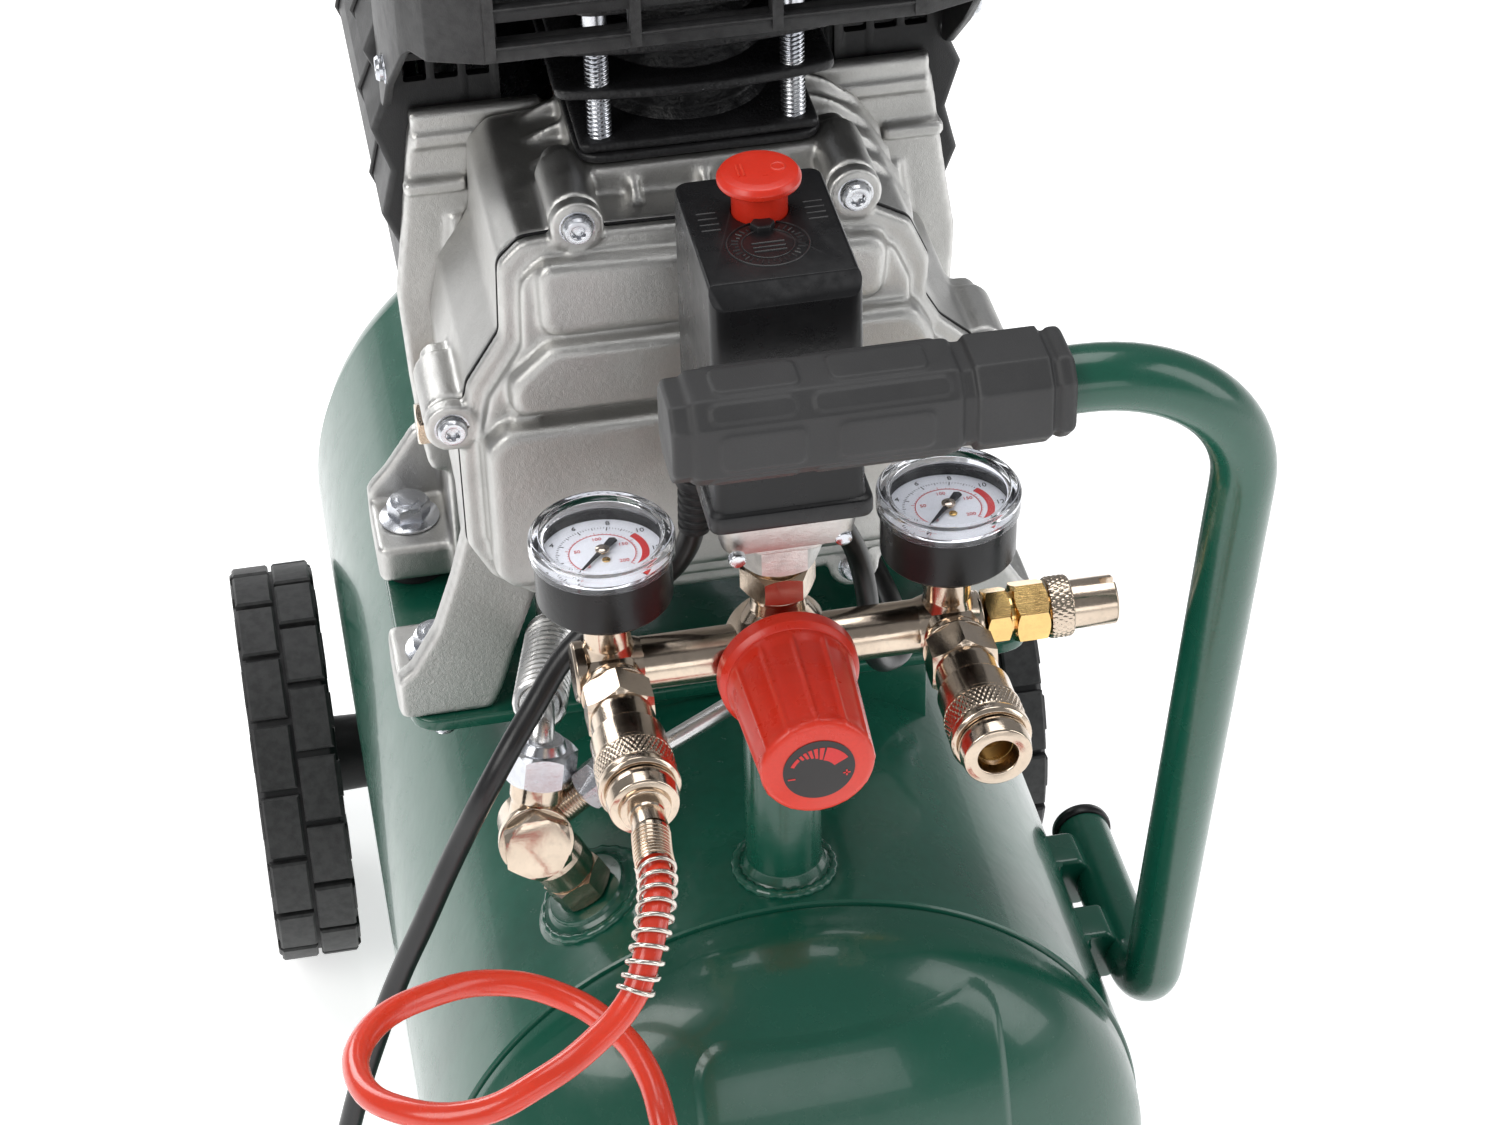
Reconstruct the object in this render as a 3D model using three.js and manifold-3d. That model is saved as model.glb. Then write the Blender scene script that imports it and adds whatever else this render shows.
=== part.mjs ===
// Portable piston air compressor, 24 litre class, with two wheels and one front foot.
// Millimetres, +Z up, +X to the right of somebody at the gauges, +Y towards the wheels.
// Parts are drawn with y = 0 on the air manifold's axis and z = 0 on the floor.
// part() then moves each one by ORIGIN_Y, which puts the origin under the middle of the machine.
import * as THREE from 'three';
import { mergeVertices } from 'three/addons/utils/BufferGeometryUtils.js';
import Module from 'manifold-3d';

const wasm = await Module();
wasm.setup();

// ---------------------------------------------------------------- driving dimensions
const ORIGIN_Y = -177.2;
const GAP = 0.3;

const TANK_R = 119;
const TANK_Z = 170.7;
const TANK_WALL = 2.5;
const TANK_FRONT_SEAM = -19.5;
const TANK_REAR_SEAM = 400;
const DISH_DEPTH = 59;
const FRONT_SKIRT = 6.5;
const REAR_SKIRT = 1;

const WHEEL_R = 82.6;
const WHEEL_Y = 332;
const WHEEL_INNER = 127;
const WHEEL_OUTER = 161;
const AXLE_R = 8;

const DRAIN = [0, 200];
const FOOT_Y = 5;
const FOOT_TOP = 36;
const PLATE_TOP = 297;

const MANIFOLD_Z = 379.2;
const MANIFOLD_R = 8.25;
const CENTRE_X = 3;
const PORT_X = [-49.3, 55.2];
const POST_TOP = 356.9;
const GAUGE_Z = 406;

const CRANK_Z = 425;
const CRANK_RADIUS = 19;
const ROD_LENGTH = 92;
const BORE_Y = 133;
const BORE_R = 21.3;
const STUD_PITCH = 60;
const STUD_R = 3.9;
const CASE_FRONT = 76.3;
const CASE_BACK = 149.7;
const FLANGE_Z = 497;
const CYLINDER_TOP = 553;
const SHAFT_R = 10;

const HANDLE_X = 129;
const HANDLE_TUBE_R = 9.5;
const HANDLE_Z = 198.5;
const HANDLE_END = 92;
const GRIP_Z = 506.5;
const GRIP_Y = -60.5;

const SWITCH_TOP = 528;
const SWITCH_BOTTOM = 447;

const HOSE_R = 4;
const LEAD_R = 3.75;

// ---------------------------------------------------------------- colours
const GREEN = 0x0b4433;
const ALUMINIUM = 0xb9b6b0;
const NICKEL = 0xc9b79c;
const BRASS = 0xc9a14a;
const STEEL = 0x9da0a3;
const IRON = 0x1c1c1d;
const PLASTIC = 0x202123;
const RUBBER = 0x262728;
const RED = 0xc7301c;
const CLEAR = 0xdfe6ea;

// ---------------------------------------------------------------- solid toolkit
function asSolid(geometry) {
  const bare = geometry.clone();
  bare.deleteAttribute('normal');
  bare.deleteAttribute('uv');
  const merged = mergeVertices(bare, 1e-4);
  const corners = merged.index.array;
  const faces = [];
  for (let i = 0; i < corners.length; i += 3) {
    const [a, b, c] = [corners[i], corners[i + 1], corners[i + 2]];
    if (a !== b && b !== c && c !== a) faces.push([a, b, c]);
  }
  const build = (list) => new wasm.Manifold(new wasm.Mesh({
    numProp: 3,
    vertProperties: Float32Array.from(merged.attributes.position.array),
    triVerts: Uint32Array.from(list.flat()),
  }));
  const body = build(faces);
  return body.volume() < 0 ? build(faces.map(([a, b, c]) => [a, c, b])) : body;
}

const join = (...bodies) => bodies.flat().reduce((whole, next) => whole.add(next));
const cut = (body, ...tools) => tools.flat().reduce((rest, tool) => rest.subtract(tool), body);

function box([x0, x1], [y0, y1], [z0, z1]) {
  const size = [Math.abs(x1 - x0), Math.abs(y1 - y0), Math.abs(z1 - z0)];
  const block = new THREE.BoxGeometry(...size);
  return asSolid(block.translate((x0 + x1) / 2, (y0 + y1) / 2, (z0 + z1) / 2));
}

// A turned part. profile is [radius, position along the axis]; at is the axis's place in the other two.
function turned(axis, at, profile, sides = 20) {
  const shape = new THREE.LatheGeometry(profile.map(([r, h]) => new THREE.Vector2(r, h)), sides);
  if (axis === 'x') shape.rotateZ(-Math.PI / 2).translate(0, at[0], at[1]);
  if (axis === 'y') shape.translate(at[0], 0, at[1]);
  if (axis === 'z') shape.rotateX(Math.PI / 2).translate(at[0], at[1], 0);
  return asSolid(shape);
}

const bar = (axis, at, r, from, to, sides = 20) =>
  turned(axis, at, [[0, from], [r, from], [r, to], [0, to]], sides);

const ring = (axis, at, inner, outer, from, to, sides = 20) =>
  turned(axis, at, [[inner, from], [outer, from], [outer, to], [inner, to], [inner, from]], sides);

const hex = (axis, at, acrossFlats, from, to) =>
  bar(axis, at, acrossFlats / 2 / Math.cos(Math.PI / 6), from, to, 6);

// A round or six-sided rod between two points; startAt and endAt are distances from the first.
function rodBetween(start, end, r, startAt, endAt, sides = 14) {
  const [a, b] = [new THREE.Vector3(...start), new THREE.Vector3(...end)];
  const way = b.clone().sub(a).normalize();
  const rod = new THREE.CylinderGeometry(r, r, endAt - startAt, sides);
  rod.applyQuaternion(new THREE.Quaternion().setFromUnitVectors(new THREE.Vector3(0, 1, 0), way));
  const middle = a.addScaledVector(way, (startAt + endAt) / 2);
  return asSolid(rod.translate(middle.x, middle.y, middle.z));
}

// A turned part whose axis runs from one point towards another.
function ribbed(start, end, profile, sides) {
  const [a, b] = [new THREE.Vector3(...start), new THREE.Vector3(...end)];
  const shape = new THREE.LatheGeometry(profile.map(([r, h]) => new THREE.Vector2(r, h)), sides);
  const way = b.sub(a).normalize();
  shape.applyQuaternion(new THREE.Quaternion().setFromUnitVectors(new THREE.Vector3(0, 1, 0), way));
  return asSolid(shape.translate(a.x, a.y, a.z));
}

// A flat outline pushed along an axis: (x, z) along y, (y, z) along x, (x, y) along z.
function slab(axis, outline, from, to) {
  const shape = new THREE.Shape(outline.map(([a, b]) => new THREE.Vector2(a, b)));
  const plate = new THREE.ExtrudeGeometry(shape, { depth: to - from, bevelEnabled: false });
  if (axis === 'y') plate.rotateX(Math.PI / 2).translate(0, to, 0);
  if (axis === 'x') {
    plate.applyMatrix4(new THREE.Matrix4().set(0, 0, 1, from, 1, 0, 0, 0, 0, 1, 0, 0, 0, 0, 0, 1));
  }
  if (axis === 'z') plate.translate(0, 0, from);
  return asSolid(plate);
}

const mirrored = (half) => [...half, ...half.map(([x, v]) => [-x, v]).reverse()];

function roundedRect(width, depth, radius, cx = 0, cy = 0, steps = 3) {
  const points = [];
  const corners = [[1, 1], [-1, 1], [-1, -1], [1, -1]];
  corners.forEach(([sx, sy], quarter) => {
    for (let i = 0; i <= steps; i += 1) {
      const angle = (quarter + i / steps) * Math.PI / 2;
      points.push([
        cx + sx * (width / 2 - radius) + radius * Math.cos(angle),
        cy + sy * (depth / 2 - radius) + radius * Math.sin(angle),
      ]);
    }
  });
  return points;
}

// ---------------------------------------------------------------- routes for tubes and cords
class Stations extends THREE.Curve {
  constructor(points) {
    super();
    this.points = points.map((p) => new THREE.Vector3(...p));
  }

  getPoint(t) {
    return this.points[Math.round(t * (this.points.length - 1))].clone();
  }

  getPointAt(u) { return this.getPoint(u); }

  getSpacedPoints() { return this.points.map((p) => p.clone()); }

  getTangentAt(u) {
    const i = Math.round(u * (this.points.length - 1));
    const before = this.points[Math.max(0, i - 1)];
    const after = this.points[Math.min(this.points.length - 1, i + 1)];
    return after.clone().sub(before).normalize();
  }
}

function tube(points, r, sides, inner = 0) {
  const shape = new THREE.Shape().absarc(0, 0, r, 0, 2 * Math.PI);
  if (inner) shape.holes.push(new THREE.Path().absarc(0, 0, inner, 0, 2 * Math.PI, true));
  return asSolid(new THREE.ExtrudeGeometry(shape, {
    steps: points.length - 1,
    curveSegments: sides,
    bevelEnabled: false,
    extrudePath: new Stations(points),
  }));
}

// Straight runs with a round bend at each inner corner.
function bent(corners, radius, steps = 5) {
  const v = corners.map((p) => new THREE.Vector3(...p));
  const points = [v[0]];
  for (let i = 1; i < v.length - 1; i += 1) {
    const into = v[i].clone().sub(v[i - 1]).normalize();
    const out = v[i + 1].clone().sub(v[i]).normalize();
    const turn = into.angleTo(out);
    const r = Array.isArray(radius) ? radius[i - 1] : radius;
    const reach = r * Math.tan(turn / 2);
    const start = v[i].clone().addScaledVector(into, -reach);
    const inward = out.clone().addScaledVector(into, -out.dot(into)).normalize();
    for (let k = 0; k <= steps; k += 1) {
      const angle = turn * k / steps;
      points.push(start.clone()
        .addScaledVector(into, r * Math.sin(angle))
        .addScaledVector(inward, r * (1 - Math.cos(angle))));
    }
  }
  points.push(v[v.length - 1]);
  return points.map((p) => p.toArray());
}

function smooth(points, count) {
  const curve = new THREE.CatmullRomCurve3(points.map((p) => new THREE.Vector3(...p)));
  return curve.getSpacedPoints(count).map((p) => p.toArray());
}

// ---------------------------------------------------------------- the model
const group = new THREE.Group();
group.name = 'air_compressor';

function part(name, body, colour, finish = {}) {
  const out = body.getMesh();
  const geometry = new THREE.BufferGeometry();
  geometry.setAttribute('position', new THREE.Float32BufferAttribute(out.vertProperties, 3));
  geometry.setIndex(new THREE.Uint32BufferAttribute(out.triVerts, 1));
  geometry.translate(0, ORIGIN_Y, 0);
  geometry.computeVertexNormals();
  const { roughness = 0.45, metalness = 0, opacity = 1 } = finish;
  const material = new THREE.MeshStandardMaterial({
    color: colour, roughness, metalness, opacity, transparent: opacity < 1,
  });
  const mesh = new THREE.Mesh(geometry, material);
  mesh.name = name;
  group.add(mesh);
}

const metal = { metalness: 1, roughness: 0.35 };
const tankClearance = () => bar('y', [0, TANK_Z], TANK_R + GAP + 0.1, -30, 420, 48);

// ---------------------------------------------------------------- tank and what is welded to it
const VALVE_LEAN = 29 * Math.PI / 180;
const VALVE_Y = 15;
const onTank = (radius) => [
  -radius * Math.sin(VALVE_LEAN), VALVE_Y, TANK_Z + radius * Math.cos(VALVE_LEAN),
];

function tankProfile(radius, frontPole, rearPole, inset, steps) {
  const points = [];
  const front = TANK_FRONT_SEAM - FRONT_SKIRT;
  const rear = TANK_REAR_SEAM + REAR_SKIRT;
  for (let i = 0; i <= steps; i += 1) {
    const a = (1 - i / steps) * Math.PI / 2;
    points.push([(radius - inset) * Math.cos(a), front + (frontPole - front) * Math.sin(a)]);
  }
  points[0][0] = 0;
  points.push([radius - inset, TANK_FRONT_SEAM], [radius, TANK_FRONT_SEAM]);
  points.push([radius, TANK_REAR_SEAM]);
  for (let i = 0; i <= steps; i += 1) {
    const a = i / steps * Math.PI / 2;
    points.push([(radius - inset) * Math.cos(a), rear + (rearPole - rear) * Math.sin(a)]);
  }
  points[points.length - 1][0] = 0;
  return points;
}

function footBracket() {
  const outside = box([-40, 40], [FOOT_Y - 20, FOOT_Y + 20], [FOOT_TOP + GAP, 62]);
  return cut(outside, box([-36, 36], [FOOT_Y - 21, FOOT_Y + 21], [FOOT_TOP + 4, 63]));
}

function makeTank() {
  const frontPole = TANK_FRONT_SEAM - FRONT_SKIRT - DISH_DEPTH;
  const rearPole = TANK_REAR_SEAM + REAR_SKIRT + DISH_DEPTH;
  const shell = turned('y', [0, TANK_Z], tankProfile(TANK_R, frontPole, rearPole, 1.5, 5), 36);
  const space = turned('y', [0, TANK_Z], tankProfile(
    TANK_R - TANK_WALL, frontPole + TANK_WALL, rearPole - TANK_WALL, 1.5, 3), 18);
  const boss = rodBetween(onTank(0), onTank(100), 14, TANK_R - 1.5, TANK_R + 3.5, 20);
  const tubeSpace = bar('y', [HANDLE_X, HANDLE_Z], HANDLE_TUBE_R + GAP, 20, 95, 16);
  const saddle = (y) => cut(box([112, 127], [y, y + 16], [190, 210]), tubeSpace);
  return cut(
    join(shell, boss, saddle(28), saddle(66), footBracket()), space,
    rodBetween(onTank(0), onTank(100), 7, 90, 140, 16),
    bar('z', [CENTRE_X, 0], 8, 270, 300, 12),
    bar('z', DRAIN, 6, 40, 70, 12),
  );
}

function makePost() {
  return cut(
    join(bar('z', [CENTRE_X, 0], 12, 280, POST_TOP), bar('z', [CENTRE_X, 0], 15.5, 280, 293, 20)),
    bar('z', [CENTRE_X, 0], 8.5, 270, MANIFOLD_Z, 16), tankClearance(),
  );
}

function makeSaddlePlate() {
  const top = slab('z', roundedRect(212, 112, 12, 0, 141), PLATE_TOP - 5, PLATE_TOP);
  const flanges = [88, 190].map((y) => box([-70, 70], [y, y + 4], [262, 294]));
  return cut(join(top, flanges), tankClearance());
}

part('tank', makeTank(), GREEN);
part('manifold_post', makePost(), GREEN);
part('saddle_plate', makeSaddlePlate(), GREEN);

// ---------------------------------------------------------------- front foot, drain and wheels
function makeFoot() {
  const foot = [[0, 0], [24, 0], [27, 4], [27, 9], [22, 14], [22, FOOT_TOP], [0, FOOT_TOP]];
  return turned('z', [0, FOOT_Y], foot);
}

part('front_foot', makeFoot(), RUBBER);

part('drain_valve_body', join(
  bar('z', DRAIN, 5.7, 44, 56, 16), hex('z', DRAIN, 17, 36, 48), bar('z', DRAIN, 6, 31, 36, 16),
), BRASS, metal);
part('drain_valve_knob', join(
  bar('z', DRAIN, 7, 22, 31 - GAP, 16), box([-13, 13], [198, 202], [17, 28]),
), BRASS, metal);

function makeWheelBracket(side) {
  const plate = cut(
    box([side * 76, side * 112], [WHEEL_Y - 24, WHEEL_Y + 24], [64, 112]),
    box([side * 70, side * 108], [WHEEL_Y - 20, WHEEL_Y + 20], [60, 108]),
    tankClearance(),
  );
  const axle = turned('x', [WHEEL_Y, WHEEL_R], [
    [0, 104], [13, 104], [13, 110], [AXLE_R, 110], [AXLE_R, 150], [13, 150], [13, 156], [0, 156],
  ].map(([r, h]) => [r, side * h]), 20);
  return join(plate, axle);
}

// The tread has two rows of blocks, half a pitch apart.
function makeWheel(side) {
  const profile = [
    [AXLE_R + GAP, 113], [16, 113], [16, WHEEL_INNER + 3], [56, WHEEL_INNER + 3],
    [60, WHEEL_INNER], [WHEEL_R - 3, WHEEL_INNER], [WHEEL_R, WHEEL_INNER + 3],
    [WHEEL_R, WHEEL_OUTER - 3], [WHEEL_R - 3, WHEEL_OUTER], [60, WHEEL_OUTER],
    [56, 149.7], [AXLE_R + GAP, 149.7], [AXLE_R + GAP, 113],
  ].map(([r, h]) => [r, side * h]);
  return turned('x', [WHEEL_Y, WHEEL_R], profile, 28);
}

for (const [name, side] of [['left', -1], ['right', 1]]) {
  part(`wheel_bracket_${name}`, makeWheelBracket(side), GREEN);
  part(`wheel_${name}`, makeWheel(side), RUBBER);
}

// ---------------------------------------------------------------- carrying handle
const HANDLE_ROUTE = [
  [HANDLE_X, HANDLE_END, HANDLE_Z], [HANDLE_X, 7, HANDLE_Z],
  [HANDLE_X, GRIP_Y, GRIP_Z], [-33, GRIP_Y, GRIP_Z],
];
part('handle_tube', tube(
  bent(HANDLE_ROUTE, [28, 52], 6), HANDLE_TUBE_R, 6, HANDLE_TUBE_R - 1.5,
), GREEN);
part('handle_end_cap', join(
  bar('y', [HANDLE_X, HANDLE_Z], HANDLE_TUBE_R + 1.2, HANDLE_END + GAP, HANDLE_END + 5),
  bar('y', [HANDLE_X, HANDLE_Z], HANDLE_TUBE_R - 2.2, HANDLE_END - 12, HANDLE_END + 2, 12),
), PLASTIC);

function makeGrip() {
  const octagon = (r, chamfer) => [
    [r, chamfer], [chamfer, r], [-chamfer, r], [-r, chamfer],
    [-r, -chamfer], [-chamfer, -r], [chamfer, -r], [r, -chamfer],
  ].map(([y, z]) => [GRIP_Y + y, GRIP_Z + z]);
  const body = join(
    slab('x', octagon(12.2, 7), -38, 73), slab('x', octagon(14.2, 8), -32, 42),
    slab('x', octagon(13.4, 7.5), 44, 68),
  );
  return cut(body, bar('x', [GRIP_Y, GRIP_Z], HANDLE_TUBE_R + GAP, -33 - GAP, 80, 16));
}
part('handle_grip', makeGrip(), RUBBER);

// ---------------------------------------------------------------- crankcase and cylinder
const CASE_OUTLINE = [
  [46, 486], [60, 478], [66, 464], [65, 450], [70, 441], [81, 431], [83, 418],
  [83, 376], [77, 363], [62, 354], [46, 350],
  [-46, 350], [-62, 354], [-76, 364], [-83, 378], [-83, 420], [-79, 438],
  [-68, 455], [-67, 480], [-60, 487], [-46, 488],
];
const CASE_INNER_HALF = [
  [42, 478], [54, 472], [60, 460], [60, 448], [66, 439], [76, 428], [78, 417],
  [78, 378], [73, 367], [60, 359], [44, 356],
];
const COVER_SCREWS = [[42.5, 491], [85, 424], [41.4, 350]];
// The front feet are a thin web with a low pad behind it, and the rear feet are a pad before a web.
const LEG_FRONT = 88;
const LEG_BACK = 122;
const LEG_WEB = 7;
const LEG_PAD_TOP = 311;
const SHIELD_FRONT = 150;
const SHIELD_FOOT_BACK = 190;
const both = (list) => list.flatMap(([x, z]) => [[x, z], [-x, z]]);
const STUDS = [[-1, -1], [1, -1], [-1, 1], [1, 1]]
  .map(([sx, sy]) => [sx * STUD_PITCH / 2, BORE_Y + sy * STUD_PITCH / 2]);
const studHoles = (from, to) => STUDS.map((at) => bar('z', at, STUD_R + GAP, from, to, 8));

function makeCrankcase() {
  const legHalf = [
    [62, 378], [82, 372], [90, 345], [100, 322], [109, 314],
    [109, PLATE_TOP + GAP], [78, PLATE_TOP + GAP], [74, 306], [66, 330], [60, 350],
  ];
  const legCore = [
    [62, 378], [82, 372], [82, 312], [78, PLATE_TOP + GAP], [74, 306], [66, 330], [60, 350],
  ];
  const rib = [[36, 494], [50, 488], [60, 480], [66, 466], [66, 456], [36, 456]];
  const flip = (outline) => outline.map(([x, z]) => [-x, z]);
  const walls = [
    slab('y', CASE_OUTLINE, CASE_FRONT, CASE_BACK),
    ...both(COVER_SCREWS).map((at) => bar('y', at, 8.5, CASE_FRONT, 93, 12)),
    ...[legHalf, flip(legHalf)].map((web) => slab('y', web, LEG_FRONT, LEG_FRONT + LEG_WEB)),
    ...[legCore, flip(legCore)].map((core) => slab('y', core, LEG_FRONT, LEG_BACK)),
    ...[1, -1].map((side) => box(
      [side * 78, side * 109], [LEG_FRONT, LEG_BACK], [PLATE_TOP + GAP, LEG_PAD_TOP])),
    ...[100, 122, 142].flatMap((y) => [rib, flip(rib)].map((o) => slab('y', o, y, y + 3))),
    slab('z', roundedRect(76, 57, 8, 0, 121.2), 470, FLANGE_Z - GAP),
    box([-38, 38], [140, BORE_Y + 38], [491, FLANGE_Z - GAP]),
    bar('y', [0, CRANK_Z], 50, 148, 166, 24),
  ];
  return cut(
    join(walls), slab('y', mirrored(CASE_INNER_HALF), 70, 144),
    bar('y', [0, CRANK_Z], 40, 143, 152, 24), bar('y', [0, CRANK_Z], SHAFT_R + GAP, 150, 170, 20),
    bar('z', [0, BORE_Y], BORE_R + 2, 472, 510), studHoles(484, 500),
  );
}

// The cover is a flat lip with three wide steps, and each one stands out further than the one above it.
function makeCover() {
  const lip = [
    slab('y', CASE_OUTLINE, 72, CASE_FRONT - GAP),
    ...both(COVER_SCREWS).map((at) => bar('y', at, 8.5, 70.5, CASE_FRONT - GAP, 12)),
  ];
  const dome = slab('y', [
    [40, 479], [54, 472], [59, 460], [59, 449], [65, 439], [75, 427], [77, 414],
    [77, 380], [71, 368], [58, 360], [44, 357],
    [-44, 357], [-58, 360], [-71, 369], [-77, 381], [-77, 418], [-73, 435],
    [-62, 452], [-61, 475], [-55, 481], [-40, 482],
  ], 67.5, 73);
  const steps = [[54, 457, 479, 64.5], [64, 430, 453, 61.5], [74, 368, 426, 58.5]].map(
    ([half, low, high, front]) => slab('y', mirrored([
      [half - 6, high], [half, high - 6], [half, low + 6], [half - 6, low],
    ]), front, 70));
  return join(lip, dome, steps);
}

function makeEndShield() {
  const plate = slab('y', mirrored([
    [84, 488], [87, 470], [90, 450], [92, 385], [90, 366], [88, 352], [62, 346], [46, 345],
  ]), SHIELD_FRONT, SHIELD_FRONT + 6);
  const footWeb = [[78, 346], [91, 346], [94, 341], [101, 331], [108, 322], [108, 304], [78, 304]];
  const edges = [1, -1].flatMap((side) => [
    bar('x', [153, 487], 3, side < 0 ? -84 : 42, side < 0 ? -42 : 84, 12),
    box([side * 71, side * 88], [146, 151], [462, 466]),
    box([side * 76, side * 82], [SHIELD_FRONT, SHIELD_FRONT + 6], [304, 356]),
    box([side * 76, side * 82], [SHIELD_FRONT, SHIELD_FOOT_BACK], [304, 346]),
    box([side * 79, side * 108], [SHIELD_FRONT + 4, SHIELD_FOOT_BACK], [304, 318]),
    slab('y', footWeb.map(([x, z]) => [side * x, z]), SHIELD_FOOT_BACK - 6, SHIELD_FOOT_BACK),
  ]);
  return cut(
    join(plate, edges), bar('y', [0, CRANK_Z], 50 + GAP, 140, 160, 24),
    bar('z', [0, BORE_Y], BORE_R + 3, 470, 500),
  );
}

function makeCylinder() {
  const square = roundedRect(76, 76, 10, 0, BORE_Y);
  const round = [];
  for (let i = 0; i < 20; i += 1) {
    const a = (i + 0.5) / 20 * 2 * Math.PI;
    round.push([46 * Math.cos(a), BORE_Y + Math.max(-38, 46 * Math.sin(a))]);
  }
  const body = join(
    bar('z', [0, BORE_Y], 25, FLANGE_Z, CYLINDER_TOP),
    slab('z', square, FLANGE_Z, FLANGE_Z + 6), slab('z', square, CYLINDER_TOP - 6, CYLINDER_TOP),
    [517, 532].map((z) => slab('z', round, z, z + 3.5)),
  );
  return cut(body, bar('z', [0, BORE_Y], BORE_R, 490, 560), studHoles(490, 560));
}

const VALVE_PLATE_TOP = CYLINDER_TOP + 4;
function makeHead() {
  const body = join(
    slab('z', roundedRect(76, 76, 10, 0, BORE_Y), VALVE_PLATE_TOP + GAP, 564),
    box([-36, 36], [112, 154], [563, 572]),
    [-33, -22, -11, 0, 11, 22, 33].map((x) => box([x - 1.5, x + 1.5], [112, 154], [571, 588])),
    bar('y', [-18, 572], 7.5, 150, 176, 16),
  );
  return cut(body, studHoles(550, 570), bar('y', [-18, 572], 3.5, 140, 180, 10),
    box([-30, 30], [116, 150], [550, 569]));
}

part('crankcase', makeCrankcase(), ALUMINIUM, metal);
part('crankcase_cover', makeCover(), ALUMINIUM, metal);
part('oil_plug', join(bar('x', [133, 384], 8, -83 - GAP, -86, 16), hex('x', [133, 384], 13, -92, -85)),
  STEEL, metal);
part('end_shield', makeEndShield(), ALUMINIUM, metal);
part('cylinder', makeCylinder(), IRON, { roughness: 0.8 });
part('valve_plate', cut(
  slab('z', roundedRect(76, 76, 10, 0, BORE_Y), CYLINDER_TOP + GAP, VALVE_PLATE_TOP),
  studHoles(550, 560), bar('z', [-10, BORE_Y], 4, 550, 560, 10), bar('z', [10, BORE_Y], 4, 550, 560, 10),
), STEEL, metal);
part('cylinder_head', makeHead(), ALUMINIUM, metal);
for (const [name, at] of [['left', STUDS[0]], ['right', STUDS[1]]]) {
  part(`cylinder_stud_${name}`, join(
    bar('z', at, STUD_R, 485, 574, 8), hex('z', at, 12.5, 564 + GAP, 571),
  ), STEEL, metal);
}

// ---------------------------------------------------------------- moving parts of the pump and motor
const PISTON_Y = BORE_Y;
const WRIST_Z = CRANK_Z + CRANK_RADIUS + ROD_LENGTH;
function makePiston() {
  const barrel = bar('z', [0, PISTON_Y], BORE_R - GAP, WRIST_Z - 16, WRIST_Z + 16, 24);
  const hollow = bar('z', [0, PISTON_Y], 16, WRIST_Z - 20, WRIST_Z + 11, 20);
  return cut(barrel, hollow, bar('y', [0, WRIST_Z], 5 + GAP, 110, 160, 12));
}

const DIPPER_LENGTH = 44;
const WRIST_PIN = [114, 152];
// The rod carries the wrist pin, the crank pin and the dipper that splashes oil.
function makeConnectingRod() {
  const bigEnd = CRANK_Z + CRANK_RADIUS;
  return join(
    bar('y', [0, bigEnd], 14, 126, 140, 20), bar('y', [0, WRIST_Z], 8.5, 127, 139, 20),
    slab('y', [[-6, bigEnd + 10], [6, bigEnd + 10], [4.5, WRIST_Z - 6], [-4.5, WRIST_Z - 6]], 129, 137),
    bar('y', [0, bigEnd], 7, 122, 141.7, 16), bar('y', [0, WRIST_Z], 5, ...WRIST_PIN, 12),
    bar('z', [0, PISTON_Y], 2, bigEnd - DIPPER_LENGTH, bigEnd, 8),
  );
}

function makeCrankshaft() {
  const web = slab('y', [
    ...roundedRect(24, 60, 11, 0, CRANK_Z).filter(([, z]) => z > CRANK_Z),
    ...roundedRect(66, 66, 32, 0, CRANK_Z, 6).filter(([, z]) => z <= CRANK_Z),
  ], 142, 151.5);
  return join(web, bar('y', [0, CRANK_Z], SHAFT_R, 151, 322, 20));
}

function makeFan() {
  const blades = [];
  const count = 7;
  for (let i = 0; i < count; i += 1) {
    const a = i / count * 2 * Math.PI;
    const blade = new THREE.BoxGeometry(42, 22, 2);
    blade.rotateX(0.5).translate(38, 297, 0).rotateY(a).translate(0, 0, CRANK_Z);
    blades.push(asSolid(blade));
  }
  return join(ring('y', [0, CRANK_Z], SHAFT_R + GAP, 20, 284, 310, 24), blades);
}

part('piston', makePiston(), ALUMINIUM, metal);
part('connecting_rod', makeConnectingRod(), ALUMINIUM, metal);
part('crankshaft', makeCrankshaft(), STEEL, metal);
part('rotor', ring('y', [0, CRANK_Z], SHAFT_R + GAP, 37.5, 178, 254, 28), STEEL, metal);
part('stator', ring('y', [0, CRANK_Z], 38.3, 66, 176, 256, 28), STEEL, metal);
part('rear_shield', join(
  ring('y', [0, CRANK_Z], 40, 68, 256 + GAP, 262, 24),
  ring('y', [0, CRANK_Z], SHAFT_R + GAP, 20, 258, 270, 16),
  [0, 1, 2].map((i) => rodBetween(
    [0, 262, CRANK_Z], [Math.sin(i * 2.0944), 262, CRANK_Z + Math.cos(i * 2.0944)], 3.5, 15, 55, 8)),
), ALUMINIUM, metal);
part('cooling_fan', makeFan(), PLASTIC);

// ---------------------------------------------------------------- plastic shrouds
function makeHeadShroud() {
  const plan = (inset) => mirrored([
    [66 - inset / 2, 78 + inset], [82 - inset, 83 + inset / 2 + 0.5], [89 - inset, 96],
    [92 - inset, 128], [92 - inset, 156 + (inset ? 5 : 0)],
  ]);
  const below = [[60, 470], [60, 545], [92, 545], [150, 494], [170, 486], [170, 470]];
  const slots = [550, 563, 576, 589].flatMap((z) => [[-63, -23], [-19, 19], [23, 63]].map(
    (xs) => box(xs, [70, 88], [z, z + 6])));
  const vents = [100, 116, 132].map((y) => box([-60, 60], [y, y + 6], [600, 620]));
  return cut(slab('z', plan(0), 486, 612), slab('z', plan(3), 480, 609), slab('x', below, -100, 100),
    slots, vents);
}

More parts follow.
